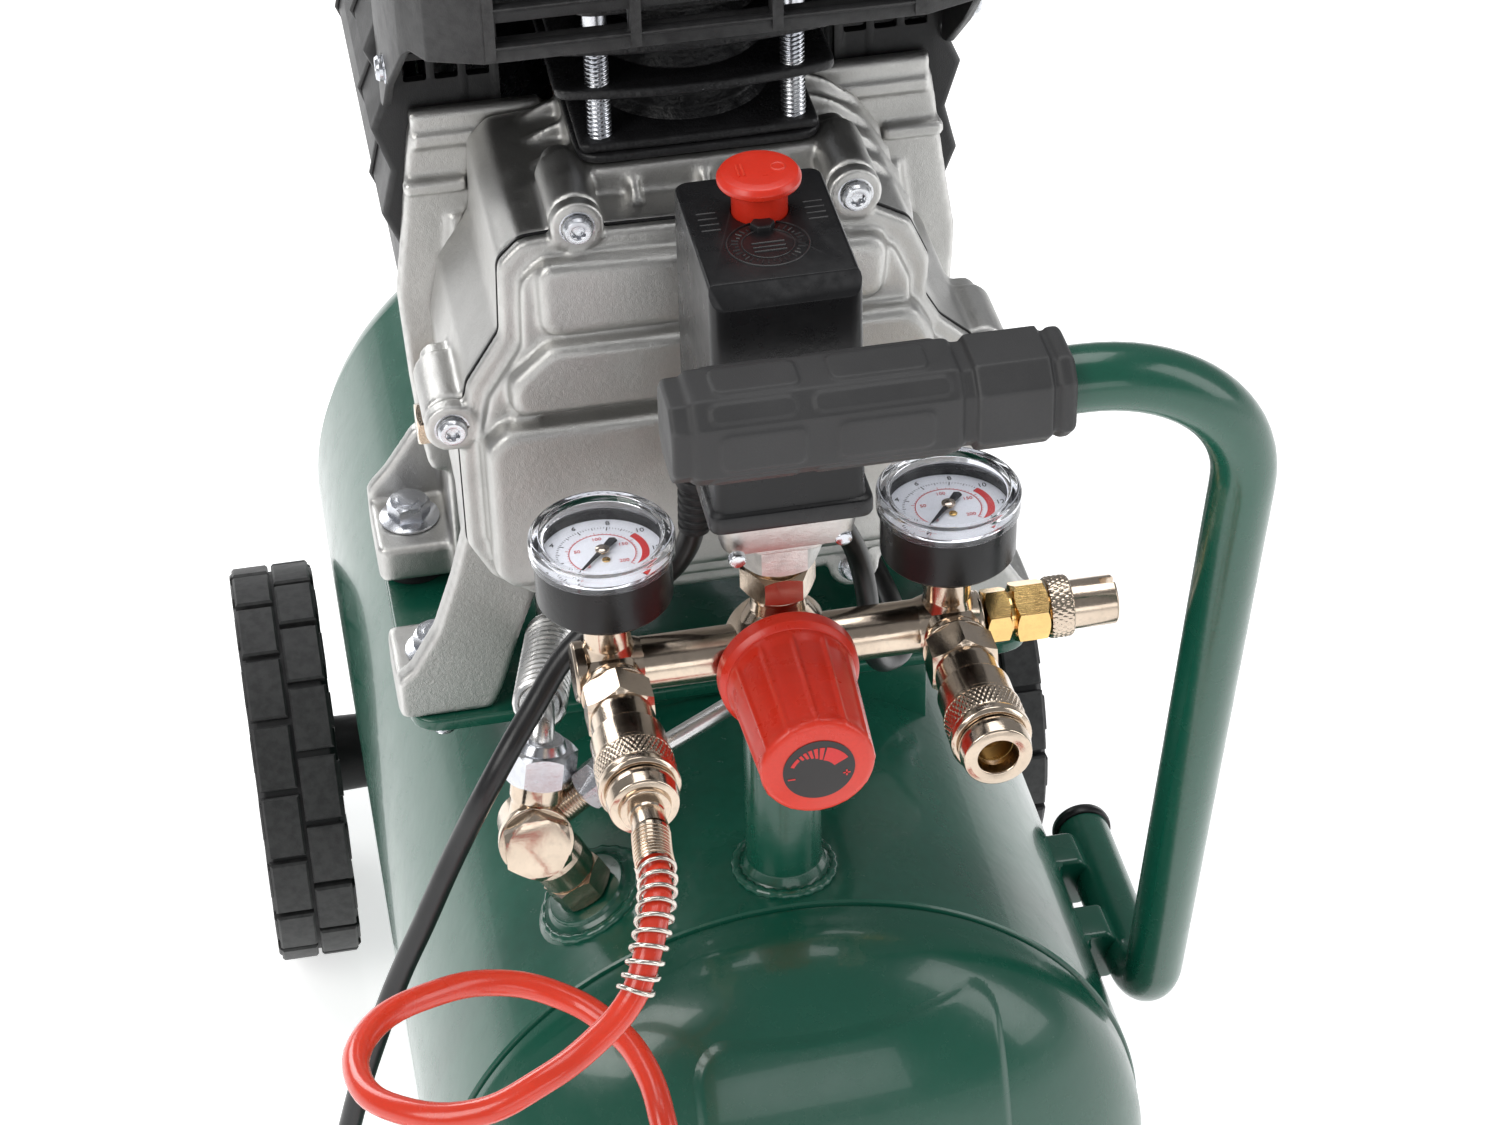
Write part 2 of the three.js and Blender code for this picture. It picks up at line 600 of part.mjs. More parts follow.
function makeMotorHood() {
  const outer = mirrored([
    [62, 612], [80, 604], [88, 590], [89, 526], [96, 510], [90, 496], [96, 482], [91, 466],
    [95, 450], [88, 432], [86, 425], [86, 366], [76, 350],
  ]);
  const inner = mirrored([
    [61, 609], [78, 601], [85, 588], [86, 526], [86, 434], [83, 425], [83, 367], [72, 345],
  ]);
  const grille = [-1, 1].flatMap((side) => [498, 508, 518].flatMap((z) => [57, 67, 77].map(
    (x) => box([side * x, side * (x + 7)], [150, 165], [z, z + 7]))));
  const rearSlots = [0, 1, 2, 3, 4, 5, 6, 7].map((i) => {
    const z = CRANK_Z - 47 + i * 12;
    const half = Math.sqrt(58 * 58 - (z + 3 - CRANK_Z) ** 2);
    return box([-half, half], [325, 340], [z, z + 6]);
  });
  return cut(
    slab('y', outer, 156 + GAP, 335), slab('y', inner, 160, 332),
    bar('y', [0, CRANK_Z], 74, 150, 165, 32), box([-60, 60], [150, 165], [330, 400]),
    box([-54, 54], [150, 165], [480, 606]), grille, rearSlots,
  );
}

part('head_shroud', makeHeadShroud(), PLASTIC);
part('motor_hood', makeMotorHood(), PLASTIC);

// ---------------------------------------------------------------- check valve, discharge and unloader
const VALVE = onTank(154);
const CAP_WAY = [0, -0.96, 0.28];
const NUT = [-70.5, 20, 329];
const SIDE_NUT = [-53, 15.5, 322];
const along = (from, way, far) => from.map((c, i) => c + way[i] * far);

function makeCheckValve() {
  const back = along(VALVE, CAP_WAY, -12);
  return join(
    rodBetween(onTank(0), VALVE, 6.7, TANK_R - 6, 153, 16),
    rodBetween(onTank(0), VALVE, 9, TANK_R + 4, 132, 16),
    rodBetween(back, VALVE, 10.5, 0, 19), rodBetween(back, VALVE, 11.8, 18, 22),
    rodBetween(back, VALVE, 10.2, 21, 25.5, 6),
    rodBetween(VALVE, NUT, 8, 0, 19), rodBetween(VALVE, SIDE_NUT, 5.2, 0, 22, 16),
  );
}

function makeDischargeTube() {
  const route = bent([
    [-70, 21.2, 334], [-68.5, 24, 347], [-67, 44, 332], [-57, 88, 324], [-52, 150, 320], [-60, 215, 330],
    [-76, 215, 372], [-76, 215, 560], [-18, 215, 572], [-18, 176 + GAP, 572],
  ], [8, 10, 20, 20, 20, 20, 22, 24], 2);
  const ridges = [[0, 3]];
  for (let h = 3; h < 38; h += 6) ridges.push([7, h], [9, h + 1], [9, h + 3], [7, h + 4]);
  ridges.push([0, ridges[ridges.length - 1][1]]);
  const fins = ribbed([-67, 44, 332], [-57, 88, 324], ridges, 10);
  const nut = rodBetween(VALVE, NUT, 10.4, 19 + GAP, 33, 6);
  return join(tube(route, 4.5, 4), fins, nut);
}

function makeUnloaderTube() {
  const route = bent([
    [-54, 15.5, 321.4], [-30, 15, 334], [-8, 20, 342], [11, 24, 356], [11, 22, 429],
  ], [14, 12, 14], 3);
  return join(tube(route, 3, 5), rodBetween(VALVE, SIDE_NUT, 7, 22 + GAP, 32, 6));
}

part('check_valve', makeCheckValve(), NICKEL, metal);
part('discharge_tube', makeDischargeTube(), ALUMINIUM, metal);
part('unloader_tube', makeUnloaderTube(), ALUMINIUM, metal);

// ---------------------------------------------------------------- manifold, regulator and gauges
function makeManifold() {
  const centre = [CENTRE_X, 0];
  const across = [CENTRE_X, MANIFOLD_Z];
  const body = [
    bar('x', [0, MANIFOLD_Z], MANIFOLD_R, -57, 66, 20), bar('x', [0, MANIFOLD_Z], 9.3, -60.5, -56, 16),
    bar('y', across, 16, -10, 10, 20), bar('y', across, 11.5, -48, -9, 16),
    bar('z', centre, 10, POST_TOP + GAP, MANIFOLD_Z, 16), bar('z', centre, 8, MANIFOLD_Z, 414, 16),
    hex('z', centre, 20, 402, 411),
    ...PORT_X.flatMap((x) => [
      bar('z', [x, 0], 7.2, MANIFOLD_Z, GAUGE_Z - 5, 16), bar('y', [x, MANIFOLD_Z], 9.3, -13, 2, 16),
    ]),
  ];
  const passages = [
    bar('x', [0, MANIFOLD_Z], 4.5, -50, 67, 8), bar('z', centre, 5, 350, 420, 8),
    ...PORT_X.map((x) => bar('y', [x, MANIFOLD_Z], 4.5, -14, 0, 8)),
  ];
  return cut(join(body), passages);
}

function makeRegulatorKnob() {
  return turned('y', [CENTRE_X, MANIFOLD_Z], [
    [0, -59.3], [15.5, -59.3], [17, -57.5], [19.6, -20], [19.6, -17], [21.6, -16],
    [21.6, -10 - GAP], [12, -10 - GAP], [12, -50], [0, -50],
  ], 24);
}

function makeGaugeCase(x) {
  const cup = turned('z', [x, 0], [
    [0, GAUGE_Z], [18.5, GAUGE_Z], [20.5, GAUGE_Z + 2], [20.5, GAUGE_Z + 19], [19.2, GAUGE_Z + 19],
    [19.2, GAUGE_Z + 15], [0, GAUGE_Z + 15],
  ], 24);
  return join(cup, bar('z', [x, 0], 5.5, GAUGE_Z - 5 + GAP, GAUGE_Z + 1, 16));
}

const makeGaugeLens = (x) => turned('z', [x, 0], [
  [0, GAUGE_Z + 21.4], [18.6, GAUGE_Z + 21.4], [18.6, GAUGE_Z + 19.3], [20.8, GAUGE_Z + 19.3],
  [20.8, GAUGE_Z + 17.5], [21.75, GAUGE_Z + 17.5], [21.75, GAUGE_Z + 24.5], [18, GAUGE_Z + 24.5],
  [17.2, GAUGE_Z + 22.9], [0, GAUGE_Z + 22.9],
], 24);

function makePointer(x) {
  const z = GAUGE_Z + 16.6;
  const needle = [[-0.5, -13.5], [0.5, -13.5], [1, 0], [1.6, 5], [-1.6, 5], [-1, 0]];
  const lean = -0.7;
  const turnedOutline = needle.map(([a, b]) => [
    x + a * Math.cos(lean) - b * Math.sin(lean), a * Math.sin(lean) + b * Math.cos(lean),
  ]);
  return join(slab('z', turnedOutline, z, z + 0.8), bar('z', [x, 0], 2.4, z - 0.6, z + 2, 14));
}

part('manifold', makeManifold(), NICKEL, metal);
part('regulator_knob', makeRegulatorKnob(), RED);
for (const [name, x] of [['left', PORT_X[0]], ['right', PORT_X[1]]]) {
  part(`gauge_case_${name}`, makeGaugeCase(x), PLASTIC);
  part(`gauge_pointer_${name}`, makePointer(x), PLASTIC);
  part(`gauge_lens_${name}`, makeGaugeLens(x), CLEAR, { opacity: 0.35, roughness: 0.1 });
}

// ---------------------------------------------------------------- pressure switch
const SWITCH_X = 2;
function makeSwitchBase() {
  return cut(
    join(
      slab('z', roundedRect(42, 56, 6, SWITCH_X, 0), 434, SWITCH_BOTTOM - GAP),
      slab('z', roundedRect(24, 40, 6, SWITCH_X + 1, 0), 429, 435),
      hex('z', [CENTRE_X, 0], 24, 414 + GAP, 430),
      box([SWITCH_X - 13, SWITCH_X + 13], [-14, 14], [446, 482]),
    ),
    bar('z', [CENTRE_X, 0], 4, 410, 440, 10),
  );
}

function makeSwitchCover() {
  const outline = (w, d, low, high) => slab('z', roundedRect(w, d, 4, SWITCH_X, 0, 3), low, high);
  const bevel = slab('x', [[-40, 522], [-30, 522], [-24, SWITCH_TOP + 1], [-40, SWITCH_TOP + 1]], -40, 40);
  const skin = join(
    outline(43, 60, 452, SWITCH_TOP), outline(48, 64, SWITCH_BOTTOM, 453),
    bar('z', [SWITCH_X - 1, -6], 4, SWITCH_TOP - 1, SWITCH_TOP + 2, 8),
  );
  return cut(skin, bevel, outline(38, 55, SWITCH_BOTTOM - 5, SWITCH_TOP - 8),
    bar('z', [SWITCH_X, 10], 8 + GAP, 510, 540));
}

const SWITCH_KNOB = [
  [0, 512], [8, 512], [8, 536], [11.2, 536.5], [12, 538], [12, 539.5], [10.5, 541], [0, 541.6],
];
part('switch_base', makeSwitchBase(), ALUMINIUM, metal);
part('switch_cover', makeSwitchCover(), PLASTIC);
part('switch_knob', turned('z', [SWITCH_X, 10], SWITCH_KNOB), RED);

// ---------------------------------------------------------------- safety valve and quick couplings
part('safety_valve_body', cut(
  join(
    hex('x', [0, MANIFOLD_Z], 15, 66 + GAP, 76), hex('x', [0, MANIFOLD_Z], 17, 75, 86),
    bar('x', [0, MANIFOLD_Z], 5, 85, 100, 14),
  ),
  bar('x', [0, MANIFOLD_Z], 3, 60, 84, 10),
), BRASS, metal);
part('safety_valve_cap', cut(
  join(bar('x', [0, MANIFOLD_Z], 9.3, 86 + GAP, 93), bar('x', [0, MANIFOLD_Z], 7.6, 92, 107.7)),
  bar('x', [0, MANIFOLD_Z], 5 + GAP, 80, 100 + GAP, 14), box([102, 110], [-1.2, 1.2], [360, 400]),
), NICKEL, metal);

const COUPLING_FRONT = -66;
for (const [name, x] of [['left', PORT_X[0]], ['right', PORT_X[1]]]) {
  const at = [x, MANIFOLD_Z];
  part(`coupling_body_${name}`, cut(
    join(
      hex('y', at, 20, -25, -13 - GAP), bar('y', at, 9.8, -60, -24),
      bar('y', at, 10.6, COUPLING_FRONT, -58.5),
    ),
    bar('y', at, 5.5, COUPLING_FRONT - 1, -32, 16), bar('y', at, 4, -33, -10, 10),
  ), NICKEL, metal);
  part(`coupling_sleeve_${name}`, turned('y', at, [
    [10.1, -58.2], [11.6, -58.2], [12.3, -57.2], [12.3, -46], [11.3, -44.5], [11.3, -35], [10.1, -35],
    [10.1, -58.2],
  ]), NICKEL, metal);
}

// ---------------------------------------------------------------- air hose, fixed in the left coupling
const HOSE_END = [-49.4, -75, MANIFOLD_Z];
const GUARD_TIP = [-52.4, -108, 374.6];
const hosePlug = cut(
  join(
    bar('y', [PORT_X[0], MANIFOLD_Z], 5, -74.5, -34, 16),
    bar('y', [PORT_X[0], MANIFOLD_Z], 5.6, -74.5, -67, 16),
    rodBetween(HOSE_END, GUARD_TIP, 6.2, -1.5, 30, 14),
  ),
  rodBetween(HOSE_END, GUARD_TIP, HOSE_R + 1, 0, 35, 14),
);
part('hose_plug', hosePlug, NICKEL, metal);

const HOSE_ROUTE = [
  [-49.4, -75.8, 379.1], [-50.2, -84, 378], [-51.2, -95, 376.4], [-52.3, -107, 374.7],
  [-57, -115, 367], [-63.4, -121, 358.5],
  [-76.6, -130, 352.6], [-92.1, -137, 348], [-109.1, -138, 342], [-130.7, -128, 337], [-141.6, -108, 331],
  [-133.6, -84, 326], [-116, -66, 319], [-94.8, -58, 312], [-77.5, -62, 307], [-64.4, -74, 303.5],
  [-56.9, -92, 302], [-54.6, -112, 296], [-53, -130, 276], [-50, -143, 235], [-46, -152, 180],
  [-42, -160, 120], [-38, -170, 68], [-32, -183, 28], [-18, -199, 9], [2, -216, 4.4], [22, -236, 4.4],
];
const HOSE_COIL = [-20, -294];
const HOSE_TAIL = [
  [-78, -294, 28.4], [-78, -276, 27.5], [-78, -252, 20], [-78, -228, 11], [-78, -210, 8.4],
];
const HOSE_FITTING = [-78, 8.4];
part('hose', tube(smooth(HOSE_ROUTE, 54), HOSE_R, 4), RED);
part('hose_coil', join(
  ring('z', HOSE_COIL, 38, 62, 0.4, 32.4, 32), tube(smooth(HOSE_TAIL, 10), HOSE_R, 4),
), RED);
part('hose_end_fitting', join(
  bar('y', HOSE_FITTING, 5, -209, -172, 12), hex('y', HOSE_FITTING, 14, -204, -192),
  bar('y', HOSE_FITTING, 6, -180, -176, 12),
), NICKEL, metal);

// ---------------------------------------------------------------- mains lead with its plug
const LEAD_ROUTE = [
  [-17.7, 18, 433], [-18.3, 18.1, 423], [-19, 18.2, 412.5], [-22, 18.6, 404], [-29, 20, 397],
  [-42, 21, 386], [-59, 19, 372.5], [-73, 9, 359],
  [-85, 0, 346], [-100.8, -1, 315], [-113.5, -1, 286], [-122, 0, 266], [-132.2, 0, 239], [-141.2, 0, 211],
  [-151, -1, 172], [-160, -3, 125], [-168, -5, 78], [-179, -6, 36], [-197, -6.2, 12], [-216, -6.3, 4.6],
  [-233, -6.3, 4.2],
];
const LEAD_COIL = [-262, -50];
const PLUG_X = -305.7;
const PLUG_Z = 19.6;
part('mains_lead', tube(smooth(LEAD_ROUTE, 34), LEAD_R, 4), PLASTIC);
part('mains_coil', join(
  ring('z', LEAD_COIL, 32.5, 47.5, 0.4, 22.9, 28),
  bar('y', [PLUG_X, 19.2], LEAD_R, -88, -50, 12),
), PLASTIC);
function makePlug() {
  const y = -88 - GAP;
  const body = turned('y', [PLUG_X, PLUG_Z], [
    [0, y], [6, y], [9, y - 16], [17, y - 24], [19, y - 32], [19, y - 42], [17.5, y - 44],
    [0, y - 44],
  ], 20);
  const pins = [-9.5, 9.5].map((dx) => bar('y', [PLUG_X + dx, PLUG_Z], 2.4, y - 63, y - 43, 10));
  return join(body, pins);
}
part('mains_plug', makePlug(), PLASTIC);

const GLAND_TOP = [-17.6, 18, 433.7];
const GLAND_TIP = [-19, 18.2, 412];
part('lead_gland', cut(
  ribbed(GLAND_TOP, GLAND_TIP, [[0, 0], [6.4, 0], [6.4, 3], [6, 4], [5.3, 20], [0, 20]], 14),
  rodBetween(GLAND_TOP, GLAND_TIP, LEAD_R + 0.8, -1, 21, 12),
), PLASTIC);

const MOTOR_LEAD = smooth([
  [19, 16, 428.6], [23, 17, 415], [31, 20, 396], [35, 22, 376], [37, 27, 352], [43, 35, 338],
  [52, 46, 333], [54, 70, 332], [52, 110, 330], [50, 150, 330], [51, 178, 338],
  [52, 200, 360], [52, 204, 380],
], 22);
part('motor_lead', tube(MOTOR_LEAD, 3.5, 4), PLASTIC);

export default group;
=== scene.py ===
"""Portable piston air compressor: the visual model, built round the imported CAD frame.

Lengths are in millimetres in the same drawing frame as the CAD source: y = 0 on the air
manifold's axis and z = 0 on the floor. place() turns them into metres in the row frame.
"""

import math

import bmesh
import bpy
from mathutils import Matrix, Vector


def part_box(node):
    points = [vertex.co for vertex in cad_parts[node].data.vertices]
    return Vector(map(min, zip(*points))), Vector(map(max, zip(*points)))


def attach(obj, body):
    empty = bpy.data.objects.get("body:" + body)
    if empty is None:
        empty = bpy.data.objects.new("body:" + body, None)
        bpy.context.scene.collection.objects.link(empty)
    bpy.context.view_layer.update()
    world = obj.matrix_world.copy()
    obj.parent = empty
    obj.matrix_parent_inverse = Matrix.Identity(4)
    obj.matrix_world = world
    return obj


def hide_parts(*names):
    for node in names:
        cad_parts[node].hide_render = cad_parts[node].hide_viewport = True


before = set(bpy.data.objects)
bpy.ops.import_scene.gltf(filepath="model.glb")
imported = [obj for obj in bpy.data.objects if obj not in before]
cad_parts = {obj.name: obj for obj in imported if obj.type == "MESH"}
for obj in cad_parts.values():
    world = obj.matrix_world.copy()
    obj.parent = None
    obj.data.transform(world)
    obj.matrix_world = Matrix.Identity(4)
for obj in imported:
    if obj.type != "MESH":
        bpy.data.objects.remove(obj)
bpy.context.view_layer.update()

# ------------------------------------------------------------ the drawing frame
MM = 0.001


def size_box(node):
    """Lowest and highest corner of a CAD node, in millimetres of the row frame."""
    return [Vector(corner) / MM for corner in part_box(node)]


post_low, post_high = size_box("manifold_post")
ORIGIN_Y = (post_low.y + post_high.y) / 2


def place(x, y, z):
    return Vector((x, y + ORIGIN_Y, z)) * MM


def span(node):
    """A node's lowest and highest corner in the drawing frame."""
    low, high = size_box(node)
    shift = Vector((0, ORIGIN_Y, 0))
    return low - shift, high - shift


# ------------------------------------------------------------ driving dimensions, from the frame
wheel_low, wheel_high = span("wheel_left")
WHEEL_R = wheel_high.z / 2
WHEEL_Y = (wheel_low.y + wheel_high.y) / 2
tank_low, tank_high = span("tank")
TANK_R = -tank_low.x
TANK_Z = tank_high.z - TANK_R
gauge_low, gauge_high = span("gauge_case_left")
GAUGE_LEFT_X = (gauge_high.x + gauge_low.x) / 2
GAUGE_RIGHT_X = sum(c.x for c in span("gauge_case_right")) / 2
GAUGE_TOP = span("gauge_lens_left")[1].z
CENTRE_X = (post_low.x + post_high.x) / 2
knob_low, knob_high = span("regulator_knob")
MANIFOLD_Z = (knob_low.z + knob_high.z) / 2
KNOB_FACE_Y = knob_low.y
CRANK_Z = sum(c.z for c in span("rotor")) / 2
BORE_Y = sum(c.y for c in span("piston")) / 2
CYLINDER_BASE = span("cylinder")[0].z
CYLINDER_TOP = span("cylinder")[1].z
HANDLE_X = sum(c.x for c in span("handle_end_cap")) / 2
HANDLE_Z = sum(c.z for c in span("handle_end_cap")) / 2
grip_low, grip_high = span("handle_grip")
GRIP_Y = (grip_low.y + grip_high.y) / 2
GRIP_Z = (grip_low.z + grip_high.z) / 2

HANDLE_TUBE_R = 9.5
HOSE_R = 4.0
LEAD_R = 3.75
STUD_PITCH = 60.0
TANK_FRONT_SEAM = -19.5
TANK_REAR_SEAM = 400.0
DISH_DEPTH = 59.0
PORTS = {"left": GAUGE_LEFT_X, "right": GAUGE_RIGHT_X}

# ------------------------------------------------------------ mesh toolkit
SMOOTH_ANGLE = math.radians(38)


def finish_mesh(obj, material, body, replaces=(), smooth=SMOOTH_ANGLE):
    mesh = obj.data
    mesh.materials.clear()
    mesh.materials.append(material)
    mesh.shade_smooth()
    mesh.set_sharp_from_angle(angle=smooth)
    if body:
        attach(obj, body)
    if replaces:
        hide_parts(*([replaces] if isinstance(replaces, str) else replaces))
    return obj


def new_object(name, verts, faces, material, body, replaces=(), smooth=SMOOTH_ANGLE):
    """A mesh from points in the drawing frame."""
    mesh = bpy.data.meshes.new(name)
    mesh.from_pydata([place(*v) for v in verts], [], faces)
    work = bmesh.new()
    work.from_mesh(mesh)
    bmesh.ops.remove_doubles(work, verts=work.verts, dist=1e-6)
    bmesh.ops.recalc_face_normals(work, faces=work.faces)
    work.to_mesh(mesh)
    work.free()
    obj = bpy.data.objects.new(name, mesh)
    bpy.context.scene.collection.objects.link(obj)
    return finish_mesh(obj, material, body, replaces, smooth)


def fillet(points, radius, steps=4, closed=False):
    """Rounds the corners of an outline. A point's third number, if any, is its own radius."""
    flat = [Vector(p[:2]) for p in points]
    radii = [p[2] if len(p) > 2 else radius for p in points]
    count = len(flat)
    out = []
    for i, corner in enumerate(flat):
        if not closed and i in (0, count - 1):
            out.append(tuple(corner))
            continue
        before, after = flat[i - 1] - corner, flat[(i + 1) % count] - corner
        room = 0.48 * min(before.length, after.length)
        angle = before.angle(after) if before.length and after.length else math.pi
        if radii[i] <= 0 or room <= 0 or angle > math.pi - 0.05 or angle < 0.05:
            out.append(tuple(corner))
            continue
        reach = min(radii[i] / math.tan(angle / 2), room)
        start, end = corner + before.normalized() * reach, corner + after.normalized() * reach
        for k in range(steps + 1):
            t = k / steps
            out.append(tuple(start * (1 - t) ** 2 + corner * 2 * t * (1 - t) + end * t ** 2))
    return out


def frame_along(way):
    """Two unit vectors across a direction."""
    way = Vector(way).normalized()
    across = Vector((0, 0, 1)) if abs(way.z) < 0.9 else Vector((1, 0, 0))
    u = way.cross(across).normalized()
    return u, way.cross(u).normalized()


def lathe_data(start, way, profile, segments=64, twist=0.0):
    """Points and faces of a turned body. profile is (radius, distance along the axis)."""
    start, way = Vector(start), Vector(way).normalized()
    u, v = frame_along(way)
    verts, faces, rows = [], [], []
    for r, h in profile:
        if r < 1e-6:
            rows.append([len(verts)] * segments)
            verts.append(start + way * h)
            continue
        rows.append(list(range(len(verts), len(verts) + segments)))
        for k in range(segments):
            a = 2 * math.pi * k / segments + twist
            verts.append(start + way * h + (u * math.cos(a) + v * math.sin(a)) * r)
    for lower, upper in zip(rows, rows[1:]):
        for k in range(segments):
            j = (k + 1) % segments
            face = []
            for index in (lower[k], lower[j], upper[j], upper[k]):
                if index not in face:
                    face.append(index)
            if len(face) > 2:
                faces.append(face)
    return [tuple(p) for p in verts], faces


def lathe(name, start, way, profile, material, body, replaces=(), segments=64, radius=0.4,
          twist=0.0, smooth=SMOOTH_ANGLE):
    data = lathe_data(start, way, fillet(profile, radius), segments, twist)
    return new_object(name, *data, material, body, replaces, smooth)


AXES = {
    "x": lambda a, b, h: (h, a, b),
    "y": lambda a, b, h: (a, h, b),
    "z": lambda a, b, h: (a, b, h),
}


def prism_data(axis, outline, low, high, edge=0.0, steps=3):
    """An outline pushed along an axis, with rounded long edges at both ends."""
    to_space = AXES[axis]
    outline = [Vector(p[:2]) for p in outline]
    area = sum(a.cross(b) for a, b in zip(outline, outline[1:] + outline[:1]))
    if area < 0:
        outline.reverse()
    count = len(outline)
    inward = []
    for i, corner in enumerate(outline):
        one = (corner - outline[i - 1]).normalized()
        two = (outline[(i + 1) % count] - corner).normalized()
        normal = Vector((-one.y - two.y, one.x + two.x))
        normal = normal.normalized() if normal.length > 1e-6 else Vector((-one.y, one.x))
        inward.append(normal / max(0.45, normal.dot(Vector((-one.y, one.x)))))
    layers = [(edge, low), (0.0, low + edge), (0.0, high - edge), (edge, high)] if edge else [
        (0.0, low), (0.0, high)]
    if edge:
        layers = []
        for k in range(steps + 1):
            a = math.pi / 2 * k / steps
            layers.append((edge * (1 - math.sin(a)), low + edge * (1 - math.cos(a))))
        layers += [(inset, low + high - h) for inset, h in reversed(layers)]
    verts, faces = [], []
    for inset, h in layers:
        for corner, way in zip(outline, inward):
            spot = corner + way * inset
            verts.append(to_space(spot.x, spot.y, h))
    for layer in range(len(layers) - 1):
        base = layer * count
        for i in range(count):
            j = (i + 1) % count
            faces.append([base + i, base + j, base + count + j, base + count + i])
    faces.append(list(range(count)))
    faces.append(list(range(len(verts) - count, len(verts))))
    return verts, faces


def prism(name, axis, outline, low, high, material, body, replaces=(), edge=0.6, corner=0.0,
          smooth=SMOOTH_ANGLE):
    if corner:
        outline = fillet(outline, corner, closed=True)
    data = prism_data(axis, outline, low, high, edge)
    return new_object(name, *data, material, body, replaces, smooth)


def block_outline(x0, x1, y0, y1):
    return [(x0, y0), (x1, y0), (x1, y1), (x0, y1)]


def rounded(width, depth, corner, cx=0.0, cy=0.0, steps=6):
    half = block_outline(cx - width / 2, cx + width / 2, cy - depth / 2, cy + depth / 2)
    return fillet(half, corner, steps, closed=True)


def mirror_outline(half):
    return list(half) + [(-x, *rest) for x, *rest in reversed(half)]


def merge_data(*parts):
    verts, faces = [], []
    for more_verts, more_faces in parts:
        base = len(verts)
        verts.extend(more_verts)
        faces.extend([[base + i for i in face] for face in more_faces])
    return verts, faces


def apply_modifiers(obj):
    graph = bpy.context.evaluated_depsgraph_get()
    mesh = bpy.data.meshes.new_from_object(obj.evaluated_get(graph))
    obj.modifiers.clear()
    old = obj.data
    obj.data = mesh
    bpy.data.meshes.remove(old)


def carve(obj, *cutters):
    """Takes closed meshes, given as (points, faces), away from obj."""
    verts, faces = merge_data(*cutters)
    tool = new_object(obj.name + "_tool", verts, faces, obj.data.materials[0], None)
    change = obj.modifiers.new("carve", "BOOLEAN")
    change.operation = "DIFFERENCE"
    change.solver = "EXACT"
    change.use_self = True
    change.object = tool
    apply_modifiers(obj)
    bpy.data.objects.remove(tool)
    return obj


def casting(name, parts, material, body, replaces=(), voxel=1.0, rounds=6, cutters=()):
    """Parts fused into one body whose inner and outer edges are all soft, as cast ones are."""
    obj = new_object(name, *merge_data(*parts), material, None)
    obj.data.remesh_voxel_size = voxel * MM
    melt = obj.modifiers.new("fuse", "REMESH")
    melt.mode = "VOXEL"
    melt.voxel_size = voxel * MM
    apply_modifiers(obj)
    if cutters:
        carve(obj, *cutters)
    soften = obj.modifiers.new("soften", "SMOOTH")
    soften.factor = 0.5
    soften.iterations = rounds
    apply_modifiers(obj)
    return finish_mesh(obj, material, body, replaces, smooth=math.radians(60))


def smooth_route(points, count):
    """Evenly spaced points on a centripetal curve through the given ones."""
    p = [Vector(q) for q in points]
    p = [p[0] * 2 - p[1]] + p + [p[-1] * 2 - p[-2]]
    fine = []
    for i in range(1, len(p) - 2):
        knots = [0.0]
        for a, b in zip(p[i - 1:i + 2], p[i:i + 3]):
            knots.append(knots[-1] + max((b - a).length, 1e-6) ** 0.5)
        for k in range(12):
            t = knots[1] + (knots[2] - knots[1]) * k / 12
            level = p[i - 1:i + 3]
            for depth in (1, 2, 3):
                level = [
                    (level[j] * (knots[j + depth] - t) + level[j + 1] * (t - knots[j]))
                    / (knots[j + depth] - knots[j])
                    for j in range(4 - depth)
                ] if depth < 3 else [
                    (level[0] * (knots[2] - t) + level[1] * (t - knots[1]))
                    / (knots[2] - knots[1])
                ]
            fine.append(level[0])
    fine.append(p[-2])
    return respace(fine, count)


def respace(points, count):
    lengths = [0.0]
    for a, b in zip(points, points[1:]):
        lengths.append(lengths[-1] + (Vector(b) - Vector(a)).length)
    out, i = [], 0
    for k in range(count + 1):
        target = lengths[-1] * k / count
        while i < len(points) - 2 and lengths[i + 1] < target:
            i += 1
        t = (target - lengths[i]) / max(lengths[i + 1] - lengths[i], 1e-9)
        out.append(Vector(points[i]).lerp(Vector(points[i + 1]), t))
    return out


def bent(corners, radii, steps=10):
    """Straight runs with a round bend at each inner corner."""
    v = [Vector(c) for c in corners]
    out = [v[0]]
    for i in range(1, len(v) - 1):
        into, away = (v[i] - v[i - 1]).normalized(), (v[i + 1] - v[i]).normalized()
        turn = into.angle(away)
        r = radii[i - 1]
        start = v[i] - into * r * math.tan(turn / 2)
        inward = (away - into * away.dot(into)).normalized()
        for k in range(steps + 1):
            a = turn * k / steps
            out.append(start + into * r * math.sin(a) + inward * r * (1 - math.cos(a)))
    out.append(v[-1])
    return out


